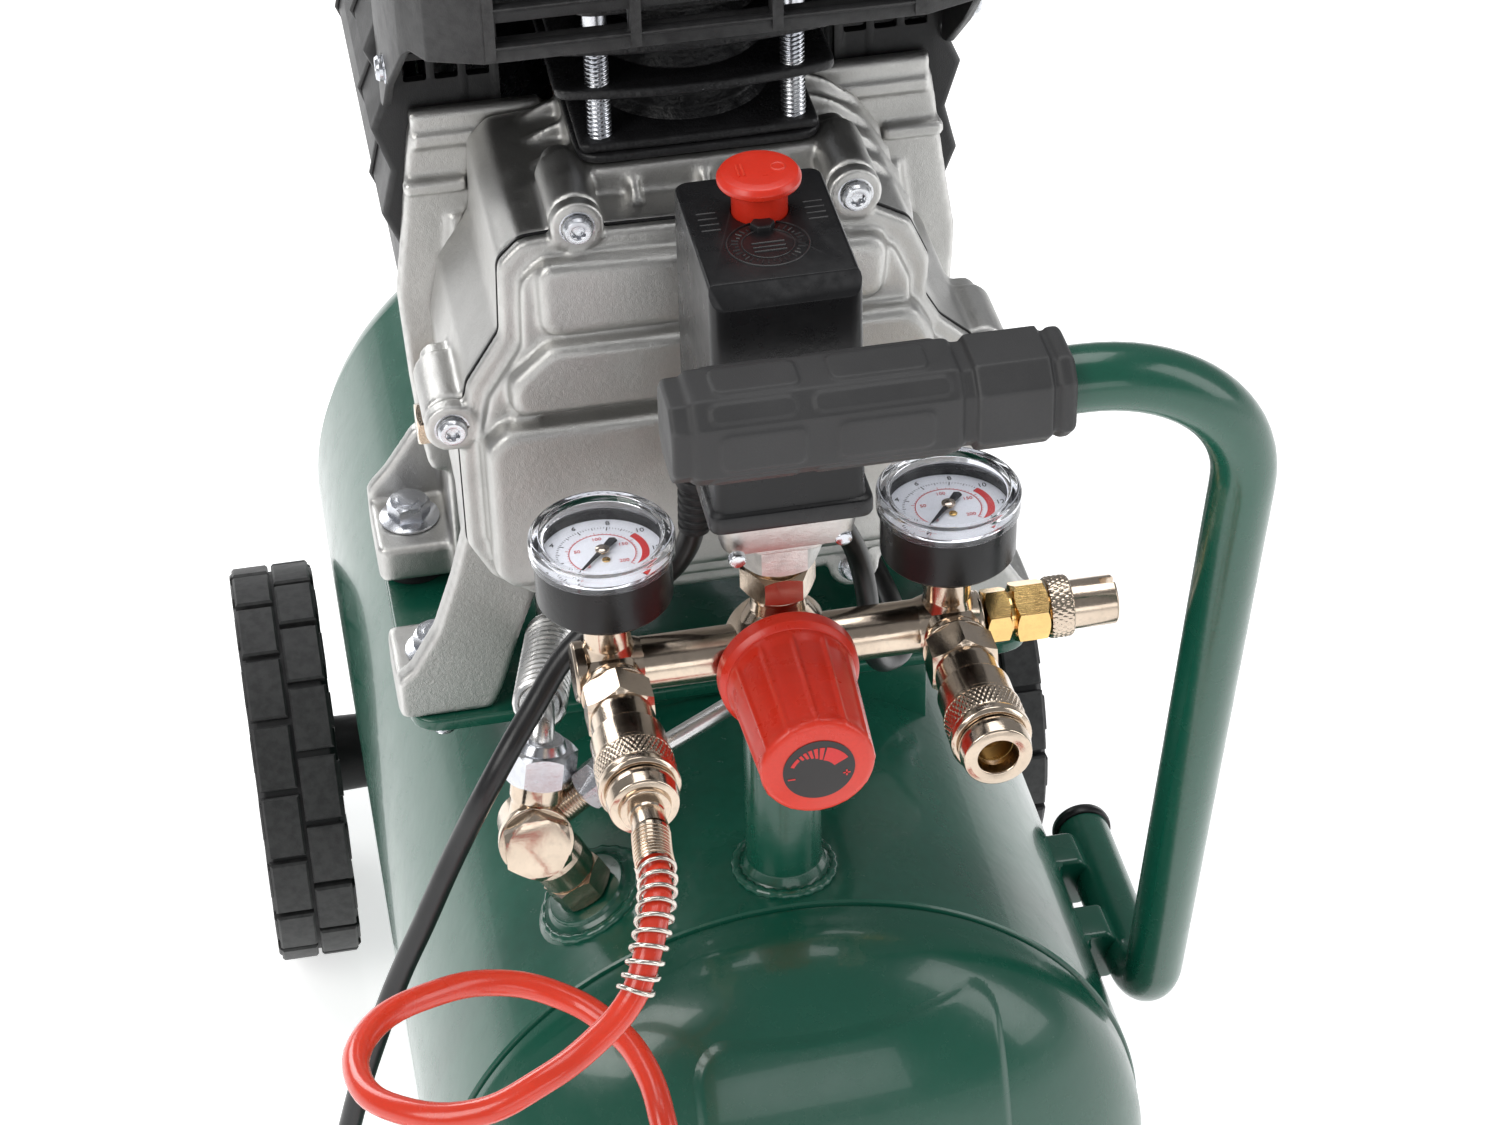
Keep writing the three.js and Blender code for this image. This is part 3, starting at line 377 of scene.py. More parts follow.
def sweep_data(points, r, sides=24, cap=True):
    """A round tube along points, turned as little as possible from one station to the next.
    r is one radius, or one for each point."""
    points = [Vector(p) for p in points]
    radii = r if isinstance(r, (list, tuple)) else [r] * len(points)
    ways = [(b - a).normalized() for a, b in zip(points, points[1:])]
    ways = [ways[0]] + [(a + b).normalized() for a, b in zip(ways, ways[1:])] + [ways[-1]]
    u, _ = frame_along(ways[0])
    verts, faces = [], []
    for i, (point, way) in enumerate(zip(points, ways)):
        u = (u - way * u.dot(way)).normalized()
        v = way.cross(u)
        for k in range(sides):
            a = 2 * math.pi * k / sides
            verts.append(tuple(point + (u * math.cos(a) + v * math.sin(a)) * radii[i]))
        if i:
            base = (i - 1) * sides
            for k in range(sides):
                j = (k + 1) % sides
                faces.append([base + k, base + j, base + sides + j, base + sides + k])
    if cap:
        faces.append(list(range(sides)))
        faces.append(list(range(len(verts) - sides, len(verts))))
    return verts, faces


def sweep(name, points, r, material, body, replaces=(), sides=24, smooth=SMOOTH_ANGLE):
    return new_object(name, *sweep_data(points, r, sides), material, body, replaces, smooth)


def wave(t):
    """A triangle wave from 0 to 1 and back over one unit."""
    t = t % 1.0
    return 2 * t if t < 0.5 else 2 - 2 * t


def grid_turned(name, start, way, low, high, rows, segments, radius_at, material, body,
                replaces=(), smooth=math.radians(75)):
    """A turned body whose radius varies round and along it, closed at both ends."""
    start, way = Vector(start), Vector(way).normalized()
    u, v = frame_along(way)
    verts, faces = [], []
    for i in range(rows + 1):
        h = low + (high - low) * i / rows
        for k in range(segments):
            a = 2 * math.pi * k / segments
            r = radius_at(k / segments, h)
            verts.append(tuple(start + way * h + (u * math.cos(a) + v * math.sin(a)) * r))
    for i in range(rows):
        for k in range(segments):
            j = (k + 1) % segments
            a, b = i * segments, (i + 1) * segments
            faces.append([a + k, a + j, b + j, b + k])
    faces.append(list(range(segments)))
    faces.append(list(range(len(verts) - segments, len(verts))))
    return new_object(name, verts, faces, material, body, replaces, smooth)


def thread(name, start, way, r, low, high, material, body, pitch=1.25, depth=0.6, segments=28):
    """A rod with a helical thread cut into it."""
    rows = max(4, round((high - low) / pitch * 5))
    return grid_turned(
        name, start, way, low, high, rows, segments,
        lambda turn, h: r - depth * wave(h / pitch - turn), material, body)


def knurled(name, start, way, r, low, high, material, body, count=44, depth=0.45, lead=3.0):
    """A collar with a diamond knurl between two plain edges."""
    def radius_at(turn, h):
        fade = min(1.0, (h - low) / 0.8, (high - h) / 0.8)
        lines = min(wave(turn * count + h / lead), wave(turn * count - h / lead))
        return r - depth * (1 - fade) - depth * fade * (1 - lines) * 0.9
    return grid_turned(name, start, way, low, high, max(8, round((high - low) / 0.42)),
                       count * 6, radius_at, material, body)


def hexagon_data(at, way, flats, low, high, chamfer=0.8):
    """A nut's body: a six-sided prism whose ends are turned off at the corners."""
    corner = flats / 2 / math.cos(math.pi / 6)
    start, way = Vector(at), Vector(way).normalized()
    u, v = frame_along(way)
    segments = 60
    verts, faces = [], []
    rows = [(flats / 2 * 0.96, low), (None, low + 0.01), (None, high - 0.01),
            (flats / 2 * 0.96, high)]
    for round_r, h in rows:
        for k in range(segments):
            a = 2 * math.pi * k / segments
            side = (a + math.pi / 6) % (math.pi / 3) - math.pi / 6
            flat_r = flats / 2 / math.cos(side)
            r, level = flat_r, h
            if round_r:
                r = min(flat_r, round_r)
            else:
                drop = chamfer * (flat_r - flats / 2) / (corner - flats / 2)
                level = h + drop if h < (low + high) / 2 else h - drop
            verts.append(tuple(start + way * level + (u * math.cos(a) + v * math.sin(a)) * r))
    for i in range(3):
        for k in range(segments):
            j = (k + 1) % segments
            a, b = i * segments, (i + 1) * segments
            faces.append([a + k, a + j, b + j, b + k])
    faces.append(list(range(segments)))
    faces.append(list(range(3 * segments, 4 * segments)))
    return verts, faces


def hexagon(name, at, way, flats, low, high, material, body, replaces=(), chamfer=0.8):
    data = hexagon_data(at, way, flats, low, high, chamfer)
    return new_object(name, *data, material, body, replaces, math.radians(25))


def hex_bolt(name, at, way, flats, material, body, flange=0.0, height=5.0):
    """A bolt head standing on at, pointing along way, with a washer face if flange is given."""
    parts = [hexagon_data(at, way, flats, 1.2, height)]
    washer = flange or flats / 2
    parts.append(lathe_data(at, way, fillet(
        [(0, 0), (washer, 0), (washer, 0.9), (flats / 2, 1.8), (0, 1.8)], 0.3), 40))
    parts.append(lathe_data(at, way, fillet(
        [(0, height - 0.1), (flats * 0.3, height - 0.1), (flats * 0.3, height + 0.3),
         (0, height + 0.3)], 0.2), 32))
    return new_object(name, *merge_data(*parts), material, body, smooth=math.radians(25))


def socket_screw(name, at, way, r, material, body, height=3.2):
    """A round head with a six-lobed socket."""
    profile = [(0, height - 1.8), (r * 0.42, height - 1.8), (r * 0.5, height), (r * 0.85, height),
               (r, height * 0.6), (r, 0), (0, 0)]
    head = lathe_data(at, way, fillet(profile, 0.3), 40)
    start, way = Vector(at), Vector(way).normalized()
    u, v = frame_along(way)
    verts, faces = [], []
    for h in (height - 1.75, height - 0.25):
        for k in range(48):
            a = 2 * math.pi * k / 48
            lobe = r * (0.5 - 0.13 * (0.5 + 0.5 * math.cos(6 * a)) ** 2)
            verts.append(tuple(start + way * h + (u * math.cos(a) + v * math.sin(a)) * lobe))
    outer = len(verts)
    for k in range(48):
        a = 2 * math.pi * k / 48
        verts.append(tuple(start + way * (height - 0.25)
                           + (u * math.cos(a) + v * math.sin(a)) * r * 0.55))
    for k in range(48):
        j = (k + 1) % 48
        faces.append([k, j, 48 + j, 48 + k])
        faces.append([48 + k, 48 + j, outer + j, outer + k])
    washer = lathe_data(at, way, fillet(
        [(0, -0.9), (r * 1.25, -0.9), (r * 1.25, 0), (0, 0)], 0.25), 40)
    return new_object(name, *merge_data(head, (verts, faces), washer), material, body)

# ------------------------------------------------------------ materials
class Nodes:
    """A small helper that adds linked shader nodes."""

    def __init__(self, name):
        self.material = bpy.data.materials.new(name)
        self.material.use_nodes = True
        self.tree = self.material.node_tree
        self.shader = self.tree.nodes["Principled BSDF"]
        self.place = self.add("ShaderNodeTexCoord").outputs["Object"]

    def add(self, kind, **settings):
        node = self.tree.nodes.new(kind)
        for key, value in settings.items():
            setattr(node, key, value)
        return node

    def feed(self, socket, value):
        if isinstance(value, bpy.types.NodeSocket):
            self.tree.links.new(value, socket)
        else:
            socket.default_value = value

    def noise(self, scale, detail=4.0, roughness=0.55, stretch=None):
        where = self.place
        if stretch:
            mapping = self.add("ShaderNodeMapping")
            mapping.inputs["Scale"].default_value = stretch
            self.feed(mapping.inputs["Vector"], where)
            where = mapping.outputs["Vector"]
        node = self.add("ShaderNodeTexNoise")
        node.inputs["Scale"].default_value = scale
        node.inputs["Detail"].default_value = detail
        node.inputs["Roughness"].default_value = roughness
        self.feed(node.inputs["Vector"], where)
        return node.outputs["Fac"]

    def remap(self, value, low, high, to_low=0.0, to_high=1.0):
        node = self.add("ShaderNodeMapRange")
        node.clamp = True
        for socket, number in zip(("From Min", "From Max", "To Min", "To Max"),
                                  (low, high, to_low, to_high)):
            node.inputs[socket].default_value = number
        self.feed(node.inputs["Value"], value)
        return node.outputs["Result"]

    def mix(self, factor, one, two, blend="MIX"):
        node = self.add("ShaderNodeMix", data_type="RGBA", blend_type=blend)
        self.feed(node.inputs["Factor"], factor)
        for socket, value in ((node.inputs[6], one), (node.inputs[7], two)):
            if isinstance(value, (tuple, list)):
                value = (*value[:3], 1.0)
            self.feed(socket, value)
        return node.outputs[2]

    def math(self, operation, one, two):
        node = self.add("ShaderNodeMath", operation=operation)
        self.feed(node.inputs[0], one)
        self.feed(node.inputs[1], two)
        return node.outputs[0]

    def bump(self, height, strength, distance, below=None):
        node = self.add("ShaderNodeBump")
        node.inputs["Strength"].default_value = strength
        node.inputs["Distance"].default_value = distance
        self.feed(node.inputs["Height"], height)
        if below is not None:
            self.feed(node.inputs["Normal"], below)
        return node.outputs["Normal"]

    def edges(self, low, high):
        """1 on outer edges and 0 elsewhere."""
        return self.remap(self.add("ShaderNodeNewGeometry").outputs["Pointiness"], low, high)

    def set(self, **values):
        for key, value in values.items():
            self.feed(self.shader.inputs[key.replace("_", " ")], value)


def tint(colour, factor):
    return tuple(min(1.0, c * factor) for c in colour)


def surface(name, colour, roughness, metallic=0.0, mottle=0.1, mottle_scale=45.0, spread=0.08,
            peel=(0.0, 400.0), grain=(0.0, 1600.0), edge=None, coat=0.0, grime=0.0, extra=None):
    """A surface with uneven colour and gloss, fine relief, and paler or darker edges."""
    n = Nodes(name)
    clouds = n.noise(mottle_scale, 5.0)
    base = n.mix(n.remap(clouds, 0.3, 0.7), tint(colour, 1 - mottle), tint(colour, 1 + mottle))
    specks = n.noise(grain[1] * 0.6, 2.0)
    base = n.mix(n.remap(specks, 0.35, 0.75, 0.0, 0.35), base, tint(colour, 0.8))
    if grime:
        dirt = n.remap(n.noise(18.0, 6.0, 0.65), 0.52, 0.75, 0.0, grime)
        base = n.mix(dirt, base, (0.12, 0.11, 0.10))
    gloss = n.remap(n.noise(90.0, 6.0, 0.6), 0.3, 0.7, roughness - spread, roughness + spread)
    if edge:
        edge_colour, amount, edge_roughness = edge
        worn = n.math("MULTIPLY", n.edges(0.515, 0.56), amount)
        worn = n.math("MULTIPLY", worn, n.remap(n.noise(260.0, 4.0), 0.35, 0.6, 0.4, 1.0))
        base = n.mix(worn, base, edge_colour)
        change = n.add("ShaderNodeMix", data_type="FLOAT")
        n.feed(change.inputs[0], worn)
        n.feed(change.inputs[2], gloss)
        change.inputs[3].default_value = edge_roughness
        gloss = change.outputs[0]
    relief = None
    if peel[0]:
        relief = n.bump(n.noise(peel[1], 2.0, 0.4), peel[0], 0.0004)
    if grain[0]:
        relief = n.bump(n.noise(grain[1], 3.0, 0.6), grain[0], 0.00025, relief)
    n.set(Base_Color=base, Roughness=gloss, Metallic=metallic)
    if relief is not None:
        n.set(Normal=relief)
    if coat:
        n.set(Coat_Weight=coat, Coat_Roughness=0.06)
    for key, value in (extra or {}).items():
        n.set(**{key: value})
    return n.material


def brushed(name, colour, roughness, stain, scratch=0.25):
    """Plated metal: bright, with faint staining, handling marks and hairline scratches."""
    n = Nodes(name)
    clouds = n.remap(n.noise(55.0, 5.0), 0.35, 0.7)
    base = n.mix(clouds, colour, stain)
    base = n.mix(n.remap(n.noise(420.0, 4.0, 0.7), 0.5, 0.75, 0.0, 0.35), base, tint(stain, 0.7))
    gloss = n.remap(n.noise(130.0, 6.0, 0.65), 0.3, 0.75, roughness * 0.7, roughness * 1.6)
    lines = n.noise(260.0, 3.0, 0.6, stretch=(1.0, 9.0, 9.0))
    relief = n.bump(lines, scratch, 0.00006)
    relief = n.bump(n.noise(900.0, 3.0), scratch * 0.7, 0.0001, relief)
    n.set(Base_Color=base, Roughness=gloss, Metallic=1.0, Normal=relief)
    return n.material


def clear(name, roughness=0.03):
    """Clear moulded plastic, seen through without dark caustics."""
    n = Nodes(name)
    glass = n.shader
    n.set(Base_Color=(0.93, 0.94, 0.98, 1.0), Transmission_Weight=1.0, IOR=1.45)
    n.set(Roughness=n.remap(n.noise(60.0), 0.3, 0.8, roughness * 0.5, roughness * 2.0))
    n.set(Normal=n.bump(n.noise(35.0, 2.0), 0.05, 0.0002))
    through = n.add("ShaderNodeBsdfTransparent")
    through.inputs["Color"].default_value = (0.95, 0.955, 0.97, 1.0)
    path = n.add("ShaderNodeLightPath")
    blend = n.add("ShaderNodeMixShader")
    n.feed(blend.inputs[0], path.outputs["Is Shadow Ray"])
    n.feed(blend.inputs[1], glass.outputs[0])
    n.feed(blend.inputs[2], through.outputs[0])
    n.feed(n.tree.nodes["Material Output"].inputs["Surface"], blend.outputs[0])
    return n.material


BRIGHT_EDGE = ((0.86, 0.85, 0.83), 0.65, 0.26)
MAT = {
    "green_paint": surface("green_paint", (0.004, 0.078, 0.047), 0.26, mottle=0.10,
                           mottle_scale=9.0, spread=0.05, peel=(0.10, 330.0),
                           grain=(0.03, 1500.0), coat=0.35,
                           edge=((0.012, 0.13, 0.085), 0.3, 0.22)),
    "cast_aluminium": surface("cast_aluminium", (0.53, 0.525, 0.51), 0.40, 1.0, mottle=0.09,
                              mottle_scale=38.0, spread=0.07, peel=(0.25, 620.0),
                              grain=(0.55, 2300.0), edge=BRIGHT_EDGE, grime=0.12),
    "pressed_aluminium": surface("pressed_aluminium", (0.62, 0.62, 0.62), 0.30, 1.0,
                                 mottle=0.08, spread=0.09, peel=(0.12, 700.0),
                                 grain=(0.15, 2000.0), edge=BRIGHT_EDGE),
    "nickel": brushed("nickel", (0.67, 0.56, 0.45), 0.15, (0.54, 0.44, 0.35)),
    "brass": brushed("brass", (0.88, 0.60, 0.24), 0.15, (0.72, 0.47, 0.19)),
    "dark_brass": brushed("dark_brass", (0.50, 0.34, 0.12), 0.30, (0.30, 0.20, 0.08)),
    "zinc_steel": brushed("zinc_steel", (0.66, 0.67, 0.69), 0.22, (0.56, 0.58, 0.64), 0.35),
    "spring_wire": brushed("spring_wire", (0.74, 0.69, 0.63), 0.20, (0.58, 0.52, 0.46)),
    "black_iron": surface("black_iron", (0.012, 0.012, 0.013), 0.33, mottle=0.3,
                          mottle_scale=120.0, spread=0.08, peel=(1.0, 420.0),
                          grain=(1.0, 900.0), edge=((0.05, 0.05, 0.052), 0.5, 0.25)),
    "iron_plate": surface("iron_plate", (0.013, 0.013, 0.014), 0.34, mottle=0.2, spread=0.08,
                          peel=(0.35, 500.0), grain=(0.3, 1200.0),
                          edge=((0.06, 0.06, 0.062), 0.5, 0.25)),
    "black_plastic": surface("black_plastic", (0.010, 0.010, 0.011), 0.30, mottle=0.12,
                             spread=0.07, peel=(0.10, 500.0), grain=(0.10, 1900.0),
                             edge=((0.07, 0.07, 0.072), 0.45, 0.28)),
    "shroud_plastic": surface("shroud_plastic", (0.015, 0.015, 0.016), 0.44, mottle=0.14,
                              spread=0.06, peel=(0.15, 700.0), grain=(0.45, 2100.0),
                              edge=((0.10, 0.10, 0.10), 0.4, 0.4)),
    "black_rubber": surface("black_rubber", (0.015, 0.015, 0.016), 0.52, mottle=0.16,
                            spread=0.07, peel=(0.15, 300.0), grain=(0.30, 1700.0),
                            edge=((0.075, 0.075, 0.075), 0.4, 0.48)),
    "grip_rubber": surface("grip_rubber", (0.040, 0.040, 0.041), 0.50, mottle=0.12,
                           spread=0.06, peel=(0.1, 300.0), grain=(0.35, 2400.0),
                           edge=((0.14, 0.14, 0.14), 0.4, 0.44)),
    "red_plastic": surface("red_plastic", (0.66, 0.030, 0.012), 0.30, mottle=0.07,
                           mottle_scale=30.0, spread=0.07, peel=(0.10, 260.0),
                           grain=(0.12, 1700.0), edge=((0.80, 0.09, 0.05), 0.4, 0.3),
                           extra={"Subsurface_Weight": 0.08,
                                   "Subsurface_Radius": (0.004, 0.001, 0.001)}),
    "red_hose": surface("red_hose", (0.70, 0.045, 0.018), 0.24, mottle=0.10,
                        mottle_scale=25.0, spread=0.07, peel=(0.08, 150.0),
                        grain=(0.05, 1200.0), coat=0.25,
                        extra={"Subsurface_Weight": 0.12,
                                "Subsurface_Radius": (0.005, 0.001, 0.001)}),
    "lead_rubber": surface("lead_rubber", (0.009, 0.009, 0.010), 0.34, mottle=0.15, spread=0.08,
                           peel=(0.12, 200.0), grain=(0.15, 1500.0)),
    "copper_winding": surface("copper_winding", (0.55, 0.20, 0.08), 0.28, 1.0, mottle=0.2,
                              spread=0.08, peel=(0.4, 900.0), grain=(0.3, 1500.0)),
    "dial_white": surface("dial_white", (0.86, 0.87, 0.89), 0.38, mottle=0.02, spread=0.05,
                          grain=(0.03, 2000.0)),
    "dial_black": surface("dial_black", (0.015, 0.015, 0.017), 0.40, mottle=0.1, spread=0.05,
                          grain=(0.03, 2000.0)),
    "dial_red": surface("dial_red", (0.62, 0.02, 0.02), 0.40, mottle=0.05, spread=0.05,
                        grain=(0.03, 2000.0)),
    "label_black": surface("label_black", (0.014, 0.013, 0.013), 0.42, mottle=0.1, spread=0.06,
                           grain=(0.05, 2000.0)),
    "clear_lens": clear("clear_lens"),
    "tie_white": surface("tie_white", (0.55, 0.55, 0.53), 0.40, mottle=0.06, spread=0.06,
                         grain=(0.1, 1500.0)),
}
for matt in ("black_plastic", "shroud_plastic", "black_rubber", "grip_rubber", "black_iron"):
    MAT[matt].node_tree.nodes["Principled BSDF"].inputs["Specular IOR Level"].default_value = 0.32

# ------------------------------------------------------------ camera, floor and light
def add_camera():
    """The camera stands above and in front, a little to the left, and looks down at 37 degrees."""
    yaw, pitch, roll = 0.1719, 0.6529, -0.0283
    forward = Vector((math.sin(yaw) * math.cos(pitch), math.cos(yaw) * math.cos(pitch),
                      -math.sin(pitch)))
    level = Vector((math.cos(yaw), -math.sin(yaw), 0))
    upright = level.cross(forward)
    right = level * math.cos(roll) + upright * math.sin(roll)
    up = upright * math.cos(roll) - level * math.sin(roll)
    data = bpy.data.cameras.new("camera")
    data.sensor_width = 36.0
    data.lens = 86.61
    data.clip_start, data.clip_end = 0.01, 50.0
    camera = bpy.data.objects.new("camera", data)
    bpy.context.scene.collection.objects.link(camera)
    turn = Matrix((right, up, -forward)).transposed().to_4x4()
    camera.matrix_world = Matrix.Translation(place(-151.3, -840.9, 1064.6)) @ turn
    bpy.context.scene.camera = camera


def add_floor():
    n = Nodes("floor_pale")
    base = n.mix(n.noise(1.2, 3.0), (0.90, 0.90, 0.90), (0.93, 0.93, 0.93))
    n.set(Base_Color=base, Roughness=0.85, Emission_Color=(1.0, 1.0, 1.0, 1.0),
          Emission_Strength=0.62)
    mesh = bpy.data.meshes.new("floor")
    mesh.from_pydata([(-9, -9, 0), (9, -9, 0), (9, 9, 0), (-9, 9, 0)], [], [(0, 1, 2, 3)])
    mesh.materials.append(n.material)
    floor = bpy.data.objects.new("floor", mesh)
    bpy.context.scene.collection.objects.link(floor)


def add_light(name, where, target, size, power, colour=(1, 1, 1)):
    data = bpy.data.lights.new(name, "AREA")
    data.shape = "RECTANGLE"
    data.size, data.size_y = size
    data.energy = power
    data.color = colour
    lamp = bpy.data.objects.new(name, data)
    bpy.context.scene.collection.objects.link(lamp)
    lamp.location = Vector(where)
    lamp.rotation_euler = (Vector(target) - lamp.location).to_track_quat("-Z", "Y").to_euler()


def add_lights():
    world = bpy.data.worlds.new("studio")
    world.use_nodes = True
    back = world.node_tree.nodes["Background"]
    back.inputs["Color"].default_value = (0.95, 0.97, 1.0, 1.0)
    back.inputs["Strength"].default_value = 0.30
    bpy.context.scene.world = world
    middle = (0.0, -0.1, 0.35)
    add_light("key_left", (-1.5, -1.0, 1.7), middle, (1.1, 1.3), 22, (1.0, 0.985, 0.96))
    add_light("fill_right", (1.7, -0.7, 1.1), middle, (0.8, 1.5), 9)
    add_light("overhead", (0.1, 0.3, 2.1), middle, (1.5, 1.1), 15)
    add_light("front_low", (0.2, -2.2, 0.7), middle, (1.6, 0.6), 5)
    add_light("rim_back", (-0.9, 1.8, 1.2), middle, (1.0, 1.0), 16)
    view = bpy.context.scene.view_settings
    view.view_transform = "Standard"
    view.look = "None"


add_camera()
add_floor()
add_lights()

# ------------------------------------------------------------ air hose and mains lead
HOSE_ROUTE = [
    (-49.4, -75.8, 379.1), (-50.2, -84, 378), (-50.7, -94.9, 377.7), (-53.5, -106.2, 374.6),
    (-57.5, -115.2, 368.8), (-63.3, -122.2, 360.4), (-76.5, -130, 352.5), (-92.2, -137, 348),
    (-109.3, -138.9, 342.2), (-130.7, -128.3, 337.1), (-140.6, -107.8, 331.1),
    (-134.8, -83.2, 325.6), (-116, -66, 319), (-94.8, -58, 312), (-77.5, -62, 307),
    (-64.4, -74, 303.5), (-56.9, -92, 302), (-54.6, -112, 296), (-53, -130, 276),
    (-50, -143, 235), (-46, -152, 180), (-42, -160, 120), (-38, -170, 68), (-32, -183, 28),
    (-18, -199, 9), (2, -216, 4.4), (22, -236, 4.4), (34, -262, 4.4),
]
HOSE_TAIL = [(-78, -276, 27.5), (-78, -252, 20), (-78, -228, 11), (-78, -210, 8.4)]
LEAD_ROUTE = [
    (-17.7, 18, 433), (-18.3, 18.1, 423), (-19.6, 18.2, 412.6), (-22.8, 18.6, 404.3),
    (-28.3, 20, 396.4), (-41.9, 21, 386), (-59, 19, 372.5), (-73, 9, 359), (-85, 0, 346),
    (-100.8, -1, 315), (-113.5, -1, 286), (-122, 0, 266), (-132.2, 0, 239), (-141.2, 0, 211),
    (-151, -1, 172), (-160, -3, 125), (-168, -5, 78), (-179, -6, 36), (-197, -6.2, 12),
    (-216, -6.3, 4.6), (-240, -6.3, 4.2),
]


def wind(centre, start_turn, way, rings, layers, pitch, base_z, turns):
    """The points of a coil, 16 to a turn, wound in layers of rings from the outside in and
    from the inside out. start_turn is where it starts, in turns from +X, and way is 1 or -1."""
    order = []
    for layer in range(layers):
        order += [(r, base_z + layer * pitch) for r in (rings[::-1] if layer % 2 else rings)]
    points = []
    per_turn = 16
    for step in range(round(turns * per_turn) + 1):
        turn, part = divmod(step, per_turn)
        r, z = order[min(turn, len(order) - 1)]
        next_r, next_z = order[min(turn + 1, len(order) - 1)]
        change = max(0.0, part / per_turn - 0.5) * 2
        change = change * change * (3 - 2 * change)
        angle = 2 * math.pi * (start_turn + way * step / per_turn)
        here = r + (next_r - r) * change
        points.append((centre[0] + here * math.cos(angle), centre[1] + here * math.sin(angle),
                       z + (next_z - z) * change))
    return points


def cord_curve(name, points, r, material):
    """A cord as one open smooth curve through its points."""
    curve = bpy.data.curves.new(name, "CURVE")
    curve.dimensions = "3D"
    curve.bevel_depth = r * MM
    curve.bevel_resolution = 5
    curve.resolution_u = 6
    curve.use_fill_caps = True
    line = curve.splines.new("BEZIER")
    line.bezier_points.add(len(points) - 1)
    for knot, point in zip(line.bezier_points, points):
        knot.co = place(*point)
        knot.handle_left_type = knot.handle_right_type = "AUTO"
    curve.materials.append(material)
    obj = bpy.data.objects.new(name, curve)
    bpy.context.scene.collection.objects.link(obj)
    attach(obj, "base")
    return obj


def add_hose():
    centre = (-20.0, -294.0)
    turns = wind(centre, 0.0, -1, (58, 50, 42), 4, 2 * HOSE_R, 4.4, 11.5)
    points = HOSE_ROUTE + turns + HOSE_TAIL
    hose = cord_curve("air_hose", points, HOSE_R, MAT["red_hose"])
    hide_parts("hose", "hose_coil")
    return hose


def add_lead():
    centre = (-262.0, -50.0)
    turns = wind(centre, 0.25, 1, (43.75, 36.25), 3, 2 * LEAD_R, 4.2, 4.25)
    tail = [(-305.7, -64, 19.2), (-305.7, -88, 19.4)]
    lead = cord_curve("mains_cord", LEAD_ROUTE + turns + tail, LEAD_R, MAT["lead_rubber"])
    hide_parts("mains_lead", "mains_coil")
    return lead


hose = add_hose()
lead = add_lead()

# ------------------------------------------------------------ tank and what is welded to it
TANK_INSET = 1.5
FRONT_SKIRT = TANK_FRONT_SEAM - 6.5
REAR_SKIRT = TANK_REAR_SEAM + 1


def tank_top(x):
    """Height of the shell's surface above x."""
    return TANK_Z + math.sqrt(TANK_R ** 2 - x ** 2)


def dish_front(x, z):
    """Where the front dish's surface is, as y."""
    share = (x ** 2 + (z - TANK_Z) ** 2) / (TANK_R - TANK_INSET) ** 2
    return FRONT_SKIRT - DISH_DEPTH * math.sqrt(max(0.0, 1 - share))


def add_tank():
    r = TANK_R - TANK_INSET
    steps = 30
    front, rear = [], []
    for i in range(steps + 1):
        a = math.pi / 2 * i / steps
        front.append((r * math.sin(a), FRONT_SKIRT - DISH_DEPTH * math.cos(a)))
        rear.append((r * math.sin(a), REAR_SKIRT + DISH_DEPTH * math.cos(a)))
    seam = TANK_FRONT_SEAM
    skirt = [(r + 0.25, FRONT_SKIRT + 1), (r + 0.3, seam - 1.6), (r - 0.5, seam - 0.9),
             (r - 0.4, seam - 0.3), (TANK_R - 0.5, seam), (TANK_R, seam + 0.6),
             (TANK_R, TANK_REAR_SEAM - 0.6), (TANK_R - 0.6, TANK_REAR_SEAM),
             (r - 0.3, REAR_SKIRT - 0.4)]
    lathe("tank_shell", (0, 0, TANK_Z), (0, 1, 0), front + skirt + rear[::-1],
          MAT["green_paint"], "base", "tank", segments=176, radius=0.0)


def add_nameplate_panel():
    """A raised panel with a soft edge on the upper front of the dish, left without its text."""
    centre_x, centre_z, half_w, half_h, corner = 12.0, 232.0, 50.5, 38.5, 13.0

    def inside(x, z):
        dx, dz = abs(x - centre_x) - half_w + corner, abs(z - centre_z) - half_h + corner
        outside = math.hypot(max(dx, 0), max(dz, 0))
        return corner - outside - min(max(dx, dz), 0)

    step = 0.9
    columns, rows = int(2 * half_w / step) + 5, int(2 * half_h / step) + 5
    verts, index, faces = [], {}, []
    for i in range(columns):
        for j in range(rows):
            x, z = centre_x - half_w - 1.8 + i * step, centre_z - half_h - 1.8 + j * step
            depth = inside(x, z)
            if depth > -1.2:
                t = min(1.0, max(0.0, depth / 2.6))
                lift = 1.25 * t * t * (3 - 2 * t) - 0.12
                index[i, j] = len(verts)
                verts.append((x, dish_front(x, z) - lift, z))
    for i, j in index:
        face = [index.get(k) for k in ((i, j), (i + 1, j), (i + 1, j + 1), (i, j + 1))]
        if None not in face:
            faces.append(face)
    new_object("nameplate_panel", verts, faces, MAT["green_paint"], "base")


def weld_data(centre, r, bead, lift, count=72, ripple=0.16):
    """A weld bead round an upright pipe that stands on the tank's shell."""
    loop = []
    for k in range(count + 1):
        a = 2 * math.pi * k / count
        x = centre[0] + r * math.cos(a)
        loop.append((x, centre[1] + r * math.sin(a), tank_top(x) + lift))
    radii = [bead * (1 + ripple * math.sin(k * 2.1)) for k in range(count + 1)]
    return sweep_data(loop, radii, 12, cap=False)


